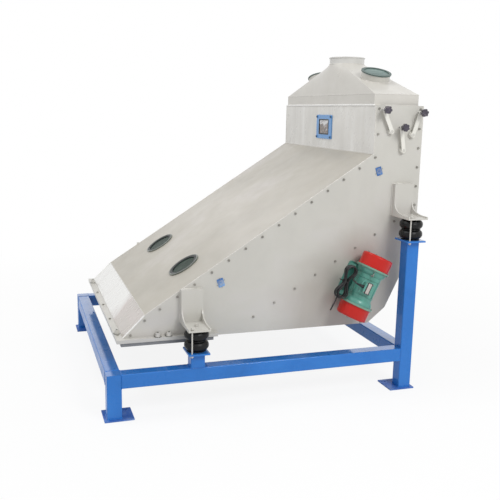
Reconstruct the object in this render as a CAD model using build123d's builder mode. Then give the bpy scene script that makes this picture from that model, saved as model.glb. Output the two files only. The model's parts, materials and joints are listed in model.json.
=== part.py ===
# Vibrating sieve: a sloping steel sieve box with two screen decks, carried on four rubber
# bellows over a blue tube frame and shaken by two out-of-balance motors on its side plates.
# +X points to the high feed end, +Y to the far side, +Z up. The origin is on the floor, in the
# middle of the frame. All sizes are in millimetres.
from build123d import *
import os
from math import atan2, cos, degrees, hypot, pi, radians, sin, tan

os.makedirs("parts", exist_ok=True)

# Base frame of square tube
frame_length = 2300
frame_top = 320
tube = 100
tube_wall = 5
tube_corner = 8
post_top = 1140
short_post = 100
spring_span = 1628
spring_offset = 165
foot = 200
foot_thickness = 10
foot_shift = 30
foot_hole_edge = 38
foot_hole_diameter = 18
seat_length = 150
seat_width = 185
seat_thickness = 12
rod_offset_x = 50
rod_offset_y = 80
rod_diameter = 10
rod_hole_diameter = 20
rod_nut_size = 22
rod_nut_height = 10
rod_play = 8
rod_end = 5
seat_play = 0.3

# Rubber bellows
bellows_height = 156
bellows_radius = 86
bellows_waist = 68
bellows_end = 66
bellows_lip = 10

# Sieve box outline, seen from the side. Lengths along it are measured from the high springs.
box_width = 1800
side_plate = 5
sheet = 4
outlet_reach = 2112
outlet_top = 503
box_bottom = 475
knee_reach = 1957
knee_z = 657
shoulder_reach = 252
shoulder_z = 1767
box_top = 2125
back_overhang = 144
rear_knee_z = 1080
toe_reach = 90
rear_toe_z = 591
heel_reach = 232
sheet_flange = 40

# Feed hood and its spout
hood_inset = 30
hood_skirt = 80
hood_rise = 258
spout_diameter = 290
spout_height = 57
spout_bead = 6
port_y = 513
port_diameter = 224
port_height = 46
port_depth = 40
port_tilt = 19.5

# Round windows in the cover
window_offset = 463
window_up_slope = 450
window_hole = 228
seal_outer = 250
seal_lip = 6
glass_thickness = 5
glass_rebate = 8

# Sight glass in the inlet front
sight_width = 305
sight_height = 198
sight_glass_width = 180
sight_glass_height = 110
sight_drop = 180
sight_frame_thickness = 8
sight_bevel = 2
sight_screw = 10
sight_screw_edge = 15
sight_screw_height = 5

# Outlet
flange_width = 45
flange_lip = 25
flange_sheet = 6
flange_end_reach = 1440
collar_inset = 30
collar_drop = 26
collar_wall = 5
divider_sheet = 5
divider_gap = 8

# Pan and screen decks under the cover
pan_bend_reach = 1015
pan_bend_z = 650
pan_high_z = 1385
upper_deck_drop = 160
lower_deck_drop = 268
upper_deck_low = 110
lower_deck_low = 230
deck_high_gap = 12
deck_frame_height = 30
deck_bar = 16
deck_side_play = 3
deck_columns = 4
deck_rows = 3
slots_per_cell = 7
screen_sheet = 3
slot_width = 14
rail_leg = 30
rail_sheet = 5

# Spring brackets on the side plates
bracket_width = 156
bracket_edge = 17
bracket_height = 242
bracket_throat = 40
bracket_flare = 112
bracket_plate = 10
bracket_base = 12
stud_diameter = 20
stud_nut_size = 30
stud_nut_height = 16
stud_end = 5

# Vibration motors
motor_reach = 348
motor_z = 804
motor_tilt = 65
motor_stand = 145
motor_barrel = 92
motor_shoulder = 112
motor_flange_radius = 124
motor_flange_out = 150
motor_flange_thickness = 14
motor_foot_length = 274
motor_foot_width = 250
motor_foot_thickness = 18
motor_bolt_x = 95
motor_bolt_y = 105
stator_share = 0.75
winding_share = 0.75
rotor_share = 0.5
cover_radius = 115
cover_end = 247
cover_wall = 4
cover_edge = 16
shaft_radius = 22
shaft_end = 232
shaft_play = 0.05
rotor_gap = 0.5
winding_gap = 12
bearing_radius = 50
bearing_width = 27
weight_radius = 92
weight_thickness = 26
weight_gap = 8
weight_hub = 44
terminal_length = 80
terminal_width = 64
terminal_height = 24
terminal_lid = 6
lid_bevel = 2
terminal_shift = 34
gland_radius = 13
gland_length = 26
gland_nose_share = 0.8
gland_taper = 8
cross_beam_diameter = 168
cross_beam_wall = 7
cross_beam_plate = 240
cross_beam_plate_thickness = 12

# Feed flaps with their levers
flap_reaches = (127, 21, -51)
flap_drops = (190, 328, 213)
flap_leans = (-25, -9, 18)
flap_lengths = (121, 96, 121)
flap_sheet = 6
flap_play = 12
flap_shaft = 24
bearing_flange = 54
bearing_flange_thickness = 12
bearing_bore_play = 0.05
lever_length = 171
lever_width = 30
lever_thickness = 6
lever_boss = 40
lever_boss_height = 14
knob_diameter = 64
knob_height = 26
knob_lobes = 6
knob_lobe_radius = 13
knob_lobe_share = 0.8
knob_stud = 12
knob_stud_out = 36
stud_play = 0.05

# Angle plates and fasteners
gauge_width = 47
gauge_height = 62
gauge_thickness = 4
gauge_turn = 18
gauge_reaches = (1412, 201)
gauge_z_places = (860, 1643)
bolt_head = 18
bolt_height = 8
edge_margin = 26
first_bolt = 110
pan_bolt_back = 147
pan_bolt_drop = 59
front_bolt_rise = 147
cover_bolt_count = 14
pan_bolt_count = 9
back_bolt_count = 6
flange_bolt_count = 5
flange_bolt_edge = 80
clamp_reaches = (1870, 1792)
clamp_y = 781
clamp_radius = 20
clamp_height = 28
clamp_taper = 9
clear = 0.3

# Motor cable: a tied hank and its loose tail
cable_diameter = 11
arc_share = 0.45
hank_length = 262
hank_width = 84
hank_thickness = 50
hank_round = 30
hank_along = -18
hank_across = 168
hank_out = 20
lead_run = 34
lead_along = 4
lead_across = 155
lead_drop = 24
tail_across = 178
tail_points = ((-184, 178, 20), (-222, 188, 26), (-258, 192, 32))

# Places that follow from the sizes above
frame_width = box_width + 2 * spring_offset + tube
tube_centre_y = (frame_width - tube) / 2
tube_centre_x = (frame_length - tube) / 2
high_spring_x = tube_centre_x
low_spring_x = high_spring_x - spring_span
outlet_x = high_spring_x - outlet_reach
knee_x = high_spring_x - knee_reach
shoulder_x = high_spring_x - shoulder_reach
box_back = high_spring_x + back_overhang
rear_toe_x = high_spring_x - toe_reach
rear_heel_x = high_spring_x - heel_reach
flange_end_x = high_spring_x - flange_end_reach
pan_bend_x = high_spring_x - pan_bend_reach
motor_x = high_spring_x - motor_reach
seat_top_low = frame_top + short_post + seat_thickness
seat_top_high = post_top + seat_thickness
half_box = box_width / 2
inner_half = half_box - side_plate
cover_run = hypot(shoulder_x - knee_x, shoulder_z - knee_z)
cover_slope = degrees(atan2(shoulder_z - knee_z, shoulder_x - knee_x))
hood_plate_run = hypot(knee_x - outlet_x, knee_z - outlet_top)
hood_plate_slope = degrees(atan2(knee_z - outlet_top, knee_x - outlet_x))
hood_front = shoulder_x
hood_back = box_back - hood_inset
hood_centre_x = (hood_front + hood_back) / 2
hood_base_z = box_top + hood_skirt
hood_top_z = hood_base_z + hood_rise
sight_z = box_top - sight_drop


def slope_plane(x, z, angle):
    """Plane whose local X climbs at the angle, local Y is +Y and local Z is its normal."""
    lean = radians(angle)
    return Plane(origin=(x, 0, z), x_dir=(cos(lean), 0, sin(lean)), z_dir=(-sin(lean), 0, cos(lean)))


cover_plane = slope_plane(knee_x, knee_z, cover_slope)
hood_plate_plane = slope_plane(outlet_x, outlet_top, hood_plate_slope)


def save(piece, name):
    """Label a finished piece and write its STEP file."""
    piece.label = name
    export_step(piece, f"parts/{name}.step")


def square_tube(start, length, capped=False):
    """Hollow square tube that grows from a plane; a capped one has a closed far end."""
    with BuildPart() as tube_piece:
        with BuildSketch(start):
            RectangleRounded(tube, tube, tube_corner)
        extrude(amount=length)
        with BuildSketch(start):
            RectangleRounded(tube - 2 * tube_wall, tube - 2 * tube_wall, tube_corner - tube_wall)
        extrude(amount=length - (tube_wall if capped else 0), mode=Mode.SUBTRACT)
    return tube_piece.part


# Base frame
tube_gap_x = frame_length - 2 * tube
tube_gap_y = frame_width - 2 * tube
beam_z = frame_top - tube / 2
long_beams, low_legs, high_posts, short_posts = [], [], [], []
for side in (-1, 1):
    y = side * tube_centre_y
    beam_start = Plane(origin=(-tube_gap_x / 2, y, beam_z), z_dir=(1, 0, 0))
    long_beams.append(square_tube(beam_start, tube_gap_x))
    low_legs.append(square_tube(Plane((-tube_centre_x, y, foot_thickness)), frame_top - foot_thickness, True))
    high_posts.append(square_tube(Plane((tube_centre_x, y, foot_thickness)), post_top - foot_thickness))
    short_posts.append(square_tube(Plane((low_spring_x, y, frame_top)), short_post))
cross_beams = []
for end in (-1, 1):
    beam_start = Plane(origin=(end * tube_centre_x, -tube_gap_y / 2, beam_z), z_dir=(0, 1, 0))
    cross_beams.append(square_tube(beam_start, tube_gap_y))
for tubes, name in ((long_beams, "long_beams"), (cross_beams, "cross_beams"), (low_legs, "low_legs"),
                    (high_posts, "high_posts"), (short_posts, "short_posts")):
    save(Compound(children=tubes), name)

foot_x = tube_centre_x - foot_shift
foot_y = tube_centre_y - foot_shift
foot_hole_x = foot_x - foot / 2 + foot_hole_edge
foot_hole_y = foot_y - foot / 2 + foot_hole_edge
with BuildPart() as foot_plates:
    with BuildSketch():
        with GridLocations(2 * foot_x, 2 * foot_y, 2, 2):
            Rectangle(foot, foot)
        with GridLocations(2 * foot_hole_x, 2 * foot_hole_y, 2, 2):
            Circle(foot_hole_diameter / 2, mode=Mode.SUBTRACT)
    extrude(amount=foot_thickness)
save(foot_plates.part, "foot_plates")

spring_places = [(x, side, top) for x, top in ((low_spring_x, seat_top_low), (high_spring_x, seat_top_high))
                 for side in (-1, 1)]
with BuildPart() as spring_seats:
    for x, side, top in spring_places:
        with BuildSketch(Plane((x, side * tube_centre_y, top - seat_thickness))):
            Rectangle(seat_length, seat_width)
            with Locations((-rod_offset_x, side * rod_offset_y)):
                Circle(rod_diameter / 2, mode=Mode.SUBTRACT)
        extrude(amount=seat_thickness)
save(spring_seats.part, "spring_seats")

# Each limit rod stands in its seat with a nut below, passes through a wide hole in the
# bracket above and ends in a nut that stays clear of the bracket while the box shakes.
rod_hold = rod_nut_height + rod_end
rod_stop = bellows_height + seat_play + bracket_base + rod_play
with BuildPart() as limit_rods:
    for x, side, top in spring_places:
        foot_of_rod = (x - rod_offset_x, side * (tube_centre_y + rod_offset_y), top - seat_thickness - rod_hold)
        with BuildSketch(Plane(foot_of_rod)):
            Circle(rod_diameter / 2)
        extrude(amount=rod_hold + seat_thickness + rod_stop + rod_nut_height)
        for nut_z in (top - seat_thickness - rod_nut_height, top + rod_stop):
            with BuildSketch(Plane((foot_of_rod[0], foot_of_rod[1], nut_z))):
                RegularPolygon(rod_nut_size / 2, 6)
            extrude(amount=rod_nut_height)
save(limit_rods.part, "limit_rods")


waist_z = bellows_height / 2
low_roll_z = (waist_z + bellows_lip) / 2
high_roll_z = bellows_height - low_roll_z


# Rubber bellows with two rolls
def bellows(x, y, z):
    """One air-spring bellows: two round rolls between flat end beads."""
    with BuildPart() as spring:
        with BuildSketch(Plane((x, y, z), x_dir=(1, 0, 0), z_dir=(0, -1, 0))):
            with BuildLine():
                bottom = Line((0, 0), (bellows_end, 0))
                lip = Line(bottom @ 1, (bellows_end, bellows_lip))
                lower = ThreePointArc(lip @ 1, (bellows_radius, low_roll_z),
                                      (bellows_waist, waist_z))
                upper = ThreePointArc(lower @ 1, (bellows_radius, high_roll_z),
                                      (bellows_end, bellows_height - bellows_lip))
                top_lip = Line(upper @ 1, (bellows_end, bellows_height))
                top = Line(top_lip @ 1, (0, bellows_height))
                Line(top @ 1, bottom @ 0)
            make_face()
        revolve(axis=Axis((x, y, z), (0, 0, 1)))
    return spring.part


for x, side, top in spring_places:
    end_name = "low" if x == low_spring_x else "high"
    side_name = "near" if side < 0 else "far"
    save(bellows(x, side * tube_centre_y, top), f"bellows_{end_name}_{side_name}")


# Side plates
side_outline = [
    (outlet_x, outlet_top), (knee_x, knee_z), (shoulder_x, shoulder_z), (shoulder_x, box_top),
    (box_back, box_top), (box_back, rear_knee_z), (rear_toe_x, rear_toe_z), (rear_heel_x, box_bottom),
    (flange_end_x, box_bottom), (flange_end_x, outlet_top)]
flap_places = [(high_spring_x - reach, box_top - drop) for reach, drop in zip(flap_reaches, flap_drops)]
for side, name in ((-1, "near"), (1, "far")):
    with BuildPart() as side_wall:
        with BuildSketch(Plane.XZ.offset(-side * half_box)):
            with BuildLine():
                Polyline(*side_outline, close=True)
            make_face()
            with Locations(*flap_places):
                Circle(flap_shaft / 2 + clear, mode=Mode.SUBTRACT)
        extrude(amount=side * side_plate)
    save(side_wall.part, f"side_plate_{name}")

# Sloping cover with folded side flanges and two window holes
fold_gap = sheet * tan(radians(hood_plate_slope - cover_slope))
with BuildPart() as top_cover:
    with BuildSketch(cover_plane):
        with Locations(((cover_run + fold_gap) / 2, 0)):
            Rectangle(cover_run - fold_gap, 2 * inner_half)
        with Locations((window_up_slope, -window_offset), (window_up_slope, window_offset)):
            Circle(window_hole / 2, mode=Mode.SUBTRACT)
    extrude(amount=-sheet)
    with BuildSketch(cover_plane.offset(-sheet)):
        with Locations((cover_run / 2, -inner_half + sheet / 2), (cover_run / 2, inner_half - sheet / 2)):
            Rectangle(cover_run - 2 * sheet_flange, sheet)
    extrude(amount=-sheet_flange)
save(top_cover.part, "top_cover")

# Steeper plate over the outlet, trimmed level where it stands on the flange
low_trim = sheet / tan(radians(hood_plate_slope))
with BuildPart() as outlet_hood:
    with BuildSketch(hood_plate_plane):
        with Locations(((hood_plate_run + low_trim) / 2, 0)):
            Rectangle(hood_plate_run - low_trim, 2 * inner_half)
    extrude(amount=-sheet)
    with BuildSketch(hood_plate_plane.offset(-sheet)):
        with Locations((hood_plate_run / 2, sheet / 2 - inner_half), (hood_plate_run / 2, inner_half - sheet / 2)):
            Rectangle(hood_plate_run - 2 * sheet_flange, sheet)
    extrude(amount=-sheet_flange)
save(outlet_hood.part, "outlet_hood")

# Inlet front with the sight opening and a stiffening flange along its top
with BuildPart() as inlet_front:
    with BuildSketch(Plane(origin=(shoulder_x, 0, (shoulder_z + box_top) / 2), x_dir=(0, 1, 0), z_dir=(1, 0, 0))):
        Rectangle(2 * inner_half, box_top - shoulder_z)
        with Locations((0, sight_z - (shoulder_z + box_top) / 2)):
            Rectangle(sight_glass_width, sight_glass_height, mode=Mode.SUBTRACT)
    extrude(amount=sheet)
    with BuildSketch(Plane((shoulder_x + sheet + sheet_flange / 2, 0, box_top))):
        Rectangle(sheet_flange, 2 * inner_half)
    extrude(amount=-sheet)
save(inlet_front.part, "inlet_front")

# Rear panel: one sheet folded at the rear knee and at the toe
with BuildPart() as rear_panel:
    with BuildSketch(Plane.XZ):
        with BuildLine():
            Polyline((box_back, box_top), (box_back, rear_knee_z), (rear_toe_x, rear_toe_z),
                     (rear_heel_x, box_bottom))
            offset(amount=sheet, side=Side.RIGHT)
        make_face()
    extrude(amount=inner_half, both=True)
save(rear_panel.part, "rear_panel")

# Pan under the screens, bent where it runs out to the fines outlet
pan_high_x = box_back - 2 * sheet
pan_low_x = flange_end_x - flange_width - divider_sheet
pan_low_z = outlet_top + sheet
with BuildPart() as bottom_pan:
    with BuildSketch(Plane.XZ):
        with BuildLine():
            Polyline((pan_low_x, pan_low_z), (pan_bend_x, pan_bend_z), (pan_high_x, pan_high_z))
            offset(amount=sheet, side=Side.RIGHT)
        make_face()
    extrude(amount=inner_half, both=True)
save(bottom_pan.part, "bottom_pan")

# Feed hood: a rectangular skirt that changes to the round spout
hood_length = hood_back - hood_front
hood_width = box_width - 2 * hood_inset
port_planes = [
    Plane(origin=(hood_centre_x, side * port_y,
                  hood_base_z + (hood_width / 2 - port_y) * hood_rise / ((hood_width - spout_diameter) / 2)),
          x_dir=(1, 0, 0), z_dir=(0, side * sin(radians(port_tilt)), cos(radians(port_tilt))))
    for side in (-1, 1)]
quarter = 90


def hood_form(inset):
    """Solid with straight slopes from the foot of the hood to its round mouth."""
    foot_plane = Plane((hood_centre_x, 0, hood_base_z))
    foot = foot_plane * Rectangle(hood_length - 2 * inset, hood_width - 2 * inset)
    mouth_radius = spout_diameter / 2 - inset
    arcs = [CenterArc((0, 0), mouth_radius, (corner - 1 / 2) * quarter, quarter) for corner in range(4)]
    mouth = Plane((hood_centre_x, 0, hood_top_z)) * Face(Wire(arcs))
    return loft([foot, mouth], ruled=True)


outer_form = hood_form(0)
inner_form = hood_form(sheet)
with BuildPart() as feed_hood:
    with BuildSketch(Plane((hood_centre_x, 0, box_top))):
        Rectangle(hood_length, hood_width)
        Rectangle(hood_length - 2 * sheet, hood_width - 2 * sheet, mode=Mode.SUBTRACT)
    extrude(amount=hood_skirt)
    add(outer_form)
    add(inner_form, mode=Mode.SUBTRACT)
    for plane in port_planes:
        with BuildSketch(plane.offset(-port_depth)):
            Circle(port_diameter / 2)
        extrude(amount=port_depth + port_height, mode=Mode.SUBTRACT)
save(feed_hood.part, "feed_hood")

# Round feed spout with a rolled bead at its mouth
with BuildPart() as inlet_spout:
    with BuildSketch(Plane((hood_centre_x, 0, hood_top_z), x_dir=(1, 0, 0), z_dir=(0, -1, 0))):
        with Locations((spout_diameter / 2 - sheet / 2, spout_height / 2)):
            Rectangle(sheet, spout_height)
        with Locations((spout_diameter / 2, spout_height - spout_bead)):
            Circle(spout_bead)
        with Locations((spout_diameter / 2 - sheet - spout_bead, spout_height - spout_bead)):
            Rectangle(2 * spout_bead, 2 * spout_bead, mode=Mode.SUBTRACT)
    revolve(axis=Axis((hood_centre_x, 0, 0), (0, 0, 1)))
save(inlet_spout.part, "inlet_spout")

# Two tilted inspection ports on the hood
with BuildPart() as port_collars:
    for plane in port_planes:
        with BuildSketch(plane.offset(-port_depth)):
            Circle(port_diameter / 2)
            Circle(port_diameter / 2 - sheet, mode=Mode.SUBTRACT)
        extrude(amount=port_depth + port_height)
save(port_collars.part, "port_collars")

# Rubber seals: each has a groove for its sheet and a groove for its glass
window_planes = [
    Plane(origin=cover_plane.from_local_coords(Vector(window_up_slope, side * window_offset, -sheet / 2)),
          x_dir=cover_plane.x_dir, z_dir=cover_plane.z_dir)
    for side in (-1, 1)]
port_glass_planes = [plane.offset(port_height) for plane in port_planes]
seal_inner = window_hole / 2 - 2 * glass_rebate
port_seal_inner = port_diameter / 2 - 2 * glass_rebate


def turned(plane, points):
    """Ring turned about a plane's normal from points given as (radius, height)."""
    with BuildPart() as ring:
        with BuildSketch(Plane(origin=plane.origin, x_dir=plane.x_dir, z_dir=-plane.y_dir)):
            with BuildLine():
                Polyline(*points, close=True)
            make_face()
        revolve(axis=Axis(plane.origin, plane.z_dir))
    return ring.part


half_sheet = sheet / 2
half_glass = glass_thickness / 2
window_seal_points = [
    (seal_inner, -half_sheet - seal_lip), (seal_outer / 2, -half_sheet - seal_lip), (seal_outer / 2, -half_sheet),
    (window_hole / 2, -half_sheet), (window_hole / 2, half_sheet), (seal_outer / 2, half_sheet),
    (seal_outer / 2, half_sheet + seal_lip), (seal_inner, half_sheet + seal_lip), (seal_inner, half_glass),
    (seal_inner + glass_rebate, half_glass), (seal_inner + glass_rebate, -half_glass), (seal_inner, -half_glass)]
port_edge = port_diameter / 2 - sheet
port_seal_points = [
    (port_seal_inner, -half_glass - seal_lip), (port_edge, -half_glass - seal_lip), (port_edge, 0),
    (port_diameter / 2 + seal_lip, 0), (port_diameter / 2 + seal_lip, half_glass + seal_lip),
    (port_seal_inner, half_glass + seal_lip), (port_seal_inner, half_glass),
    (port_seal_inner + glass_rebate, half_glass), (port_seal_inner + glass_rebate, -half_glass),
    (port_seal_inner, -half_glass)]
window_seals = [turned(plane, window_seal_points) for plane in window_planes]
window_seals += [turned(plane, port_seal_points) for plane in port_glass_planes]
save(Compound(children=window_seals), "window_seals")

# Sight glass: a bevelled frame screwed over the opening, with the pane clamped behind it
sight_plane = Plane(origin=(shoulder_x, 0, sight_z), x_dir=(0, -1, 0), z_dir=(-1, 0, 0))
with BuildPart() as sight_frame:
    with BuildSketch(sight_plane):
        RectangleRounded(sight_width, sight_height, sight_frame_thickness)
        Rectangle(sight_glass_width, sight_glass_height, mode=Mode.SUBTRACT)
    extrude(amount=sight_frame_thickness)
    outer_edges = sight_frame.faces().sort_by(Axis.X)[0].outer_wire().edges()
    chamfer(outer_edges, sight_bevel)
    with BuildSketch(sight_plane):
        Rectangle(sight_glass_width + 2 * glass_rebate, sight_glass_height + 2 * glass_rebate)
    extrude(amount=glass_thickness, mode=Mode.SUBTRACT)
    with BuildSketch(sight_plane.offset(sight_frame_thickness)):
        with GridLocations(sight_width - 2 * sight_screw_edge, sight_height - 2 * sight_screw_edge, 2, 2):
            Circle(sight_screw)
    extrude(amount=sight_screw_height)
save(sight_frame.part, "sight_frame")

with BuildPart() as window_glasses:
    for plane in window_planes:
        with BuildSketch(plane.offset(-half_glass)):
            Circle(seal_inner + glass_rebate)
        extrude(amount=glass_thickness)
    for plane in port_glass_planes:
        with BuildSketch(plane.offset(-half_glass)):
            Circle(port_seal_inner + glass_rebate)
        extrude(amount=glass_thickness)
    with BuildSketch(sight_plane):
        Rectangle(sight_glass_width + 2 * glass_rebate, sight_glass_height + 2 * glass_rebate)
    extrude(amount=glass_thickness)
save(window_glasses.part, "window_glasses")

# Outlet flange: an angle ring round the open bottom, with a collar for the sleeve below it
flange_low_x = outlet_x - flange_width
flange_length = flange_end_x - flange_low_x
flange_centre_x = (flange_end_x + flange_low_x) / 2
mouth_length = flange_length - 2 * (flange_width + side_plate)
with BuildPart() as outlet_flange:
    with BuildSketch(Plane((flange_centre_x, 0, outlet_top))):
        Rectangle(flange_length, box_width + 2 * flange_width)
        Rectangle(mouth_length, 2 * inner_half, mode=Mode.SUBTRACT)
    extrude(amount=-flange_sheet)
    with BuildSketch(Plane((flange_centre_x, 0, outlet_top - flange_sheet))):
        Rectangle(flange_length, box_width + 2 * flange_width)
        Rectangle(flange_length - 2 * flange_sheet, box_width + 2 * (flange_width - flange_sheet),
                  mode=Mode.SUBTRACT)
    extrude(amount=-(flange_lip - flange_sheet))
save(outlet_flange.part, "outlet_flange")

collar_top = outlet_top - flange_sheet
collar_low = outlet_top - flange_lip - collar_drop
collar_length = flange_length - 2 * collar_inset
collar_width = box_width + 2 * flange_width - 2 * (flange_sheet + collar_wall)
with BuildPart() as outlet_collar:
    with BuildSketch(Plane((flange_centre_x, 0, collar_low))):
        Rectangle(collar_length, collar_width)
        Rectangle(collar_length - 2 * collar_wall, collar_width - 2 * collar_wall, mode=Mode.SUBTRACT)
    extrude(amount=collar_top - collar_low)
save(outlet_collar.part, "outlet_collar")


# Screen decks: a welded bar frame with a slotted screen sheet on top, on rails at each side
deck_width = 2 * (inner_half - deck_side_play)
deck_depth = screen_sheet + deck_frame_height + rail_leg
decks = ((upper_deck_drop, upper_deck_low), (lower_deck_drop, lower_deck_low))


def deck_length(drop, low):
    """Length of a deck along the slope, up to its gap from the rear panel."""
    reach = (box_back - sheet - deck_high_gap - knee_x) / cos(radians(cover_slope))
    return reach - (drop + deck_depth) * tan(radians(cover_slope)) - low


deck_frames, deck_screens = [], []
for drop, low in decks:
    length = deck_length(drop, low)
    deck_plane = cover_plane.offset(-drop - screen_sheet)
    cell_length = (length - (deck_columns + 1) * deck_bar) / deck_columns
    cell_width = (deck_width - (deck_rows + 1) * deck_bar) / deck_rows
    pitch_x = cell_length + deck_bar
    pitch_y = cell_width + deck_bar
    with BuildPart() as deck_frame:
        with BuildSketch(deck_plane):
            with Locations((low + length / 2, 0)):
                Rectangle(length, deck_width)
                with GridLocations(pitch_x, pitch_y, deck_columns, deck_rows):
                    Rectangle(cell_length, cell_width, mode=Mode.SUBTRACT)
        extrude(amount=-deck_frame_height)
    deck_frames.append(deck_frame.part)
    with BuildPart() as screen:
        with BuildSketch(deck_plane):
            with Locations((low + length / 2, 0)):
                Rectangle(length, deck_width)
                with GridLocations(pitch_x, pitch_y, deck_columns, deck_rows):
                    with GridLocations(0, cell_width / slots_per_cell, 1, slots_per_cell):
                        Rectangle(cell_length - deck_bar, slot_width, mode=Mode.SUBTRACT)
        extrude(amount=screen_sheet)
    deck_screens.append(screen.part)
save(Compound(children=deck_frames), "deck_frames")
save(Compound(children=deck_screens), "deck_screens")

# Upright dividers that part the outlet below the low end of each deck
with BuildPart() as outlet_dividers:
    for drop, low in decks:
        corner = cover_plane.from_local_coords(Vector(low, 0, -drop - screen_sheet - deck_frame_height))
        with BuildSketch(Plane((corner.X - divider_gap, 0, collar_low))):
            Rectangle(divider_sheet, 2 * inner_half)
        extrude(amount=corner.Z - divider_gap - collar_low)
save(outlet_dividers.part, "outlet_dividers")

with BuildPart() as deck_rails:
    for drop, low in decks:
        length = deck_length(drop, low)
        rail_top = cover_plane.offset(-drop - screen_sheet - deck_frame_height)
        for side in (-1, 1):
            with BuildSketch(rail_top):
                with Locations((low + length / 2, side * (inner_half - rail_leg / 2))):
                    Rectangle(length, rail_leg)
            extrude(amount=-rail_sheet)
            with BuildSketch(rail_top.offset(-rail_sheet)):
                with Locations((low + length / 2, side * (inner_half - rail_sheet / 2))):
                    Rectangle(length, rail_sheet)
            extrude(amount=-(rail_leg - rail_sheet))
save(deck_rails.part, "deck_rails")

# Spring brackets: a shallow channel on the side plate whose cheeks flare out over the spring
bracket_reach = spring_offset + rod_offset_y + bracket_edge


def spring_bracket(x, top):
    """Near bracket over the bellows whose top is at a height."""
    wall = -half_box
    with BuildPart() as bracket:
        with BuildSketch(Plane((x, wall, top))):
            with Locations((0, -bracket_reach / 2)):
                Rectangle(bracket_width, bracket_reach)
            with Locations((0, -spring_offset)):
                Circle(stud_diameter / 2, mode=Mode.SUBTRACT)
            with Locations((-rod_offset_x, -spring_offset - rod_offset_y)):
                Circle(rod_hole_diameter / 2, mode=Mode.SUBTRACT)
        extrude(amount=bracket_base)
        cheek_plane = Plane(origin=(x, wall, top + bracket_base), x_dir=(0, -1, 0), z_dir=(-1, 0, 0))
        cheek_top = bracket_height - bracket_base
        flare_top = bracket_flare - bracket_base
        for cheek_start in (-bracket_width / 2, bracket_width / 2 - bracket_plate):
            with BuildSketch(cheek_plane.offset(cheek_start)):
                with BuildLine():
                    wall_edge = Line((0, 0), (0, cheek_top))
                    head = Line(wall_edge @ 1, (bracket_throat, cheek_top))
                    drop_edge = Line(head @ 1, (bracket_throat, flare_top))
                    flare = Bezier(drop_edge @ 1, (bracket_throat, 0), (bracket_reach, bracket_plate))
                    toe = Line(flare @ 1, (bracket_reach, 0))
                    Line(toe @ 1, wall_edge @ 0)
                make_face()
            extrude(amount=bracket_plate)
        with BuildSketch(Plane((x, wall - bracket_throat + bracket_plate / 2, top + bracket_base))):
            Rectangle(bracket_width - 2 * bracket_plate, bracket_plate)
        extrude(amount=cheek_top)
        with BuildSketch(Plane((x, wall - bracket_throat / 2, top + bracket_height))):
            Rectangle(bracket_width - 2 * bracket_plate, bracket_throat)
        extrude(amount=-bracket_plate)
    return bracket.part


near_brackets = [spring_bracket(x, top + bellows_height + seat_play) for x, side, top in spring_places if side < 0]
save(Compound(children=near_brackets + [mirror(part, about=Plane.XZ) for part in near_brackets]), "spring_brackets")

# Stud of each bellows, held by a nut on its bracket
with BuildPart() as spring_studs:
    for x, side, top in spring_places:
        stud_start = Plane((x, side * tube_centre_y, top + bellows_height + seat_play))
        with BuildSketch(stud_start):
            Circle(stud_diameter / 2)
        extrude(amount=bracket_base + stud_nut_height + stud_end)
        with BuildSketch(stud_start.offset(bracket_base)):
            RegularPolygon(stud_nut_size / 2, 6)
        extrude(amount=stud_nut_height)
save(spring_studs.part, "spring_studs")

# Cross beam between the side plates, which carries both motors
with BuildPart() as motor_beam:
    with BuildSketch(Plane.XZ.offset(-inner_half)):
        with Locations((motor_x, motor_z)):
            Circle(cross_beam_diameter / 2)
            Circle(cross_beam_diameter / 2 - cross_beam_wall, mode=Mode.SUBTRACT)
    extrude(amount=2 * inner_half)
    for side in (-1, 1):
        with BuildSketch(Plane.XZ.offset(side * inner_half)):
            with Locations((motor_x, motor_z)):
                Circle(cross_beam_plate / 2)
                Circle(cross_beam_diameter / 2 - cross_beam_wall, mode=Mode.SUBTRACT)
        extrude(amount=-side * cross_beam_plate_thickness)
save(motor_beam.part, "motor_beam")

# Vibration motors. The local X of a motor's plane is its shaft and local Z points away from
# the side plate. The far motor is the mirror image of the near one.
motor_lean = radians(motor_tilt)
motor_plane = Plane(origin=(motor_x, -half_box - motor_stand, motor_z),
                    x_dir=(cos(motor_lean), 0, sin(motor_lean)), z_dir=(0, -1, 0))
shaft_axis = Axis(motor_plane.origin, motor_plane.x_dir)


def across_shaft(distance):
    """Plane square to the motor shaft, a distance from the motor's middle."""
    return Plane(origin=motor_plane.from_local_coords(Vector(distance, 0, 0)),
                 x_dir=motor_plane.y_dir, z_dir=motor_plane.x_dir)


def save_pair(piece, name):
    """Write a near piece and its mirror image on the far side as one node."""
    save(Compound(children=[piece, mirror(piece, about=Plane.XZ)]), name)


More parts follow.
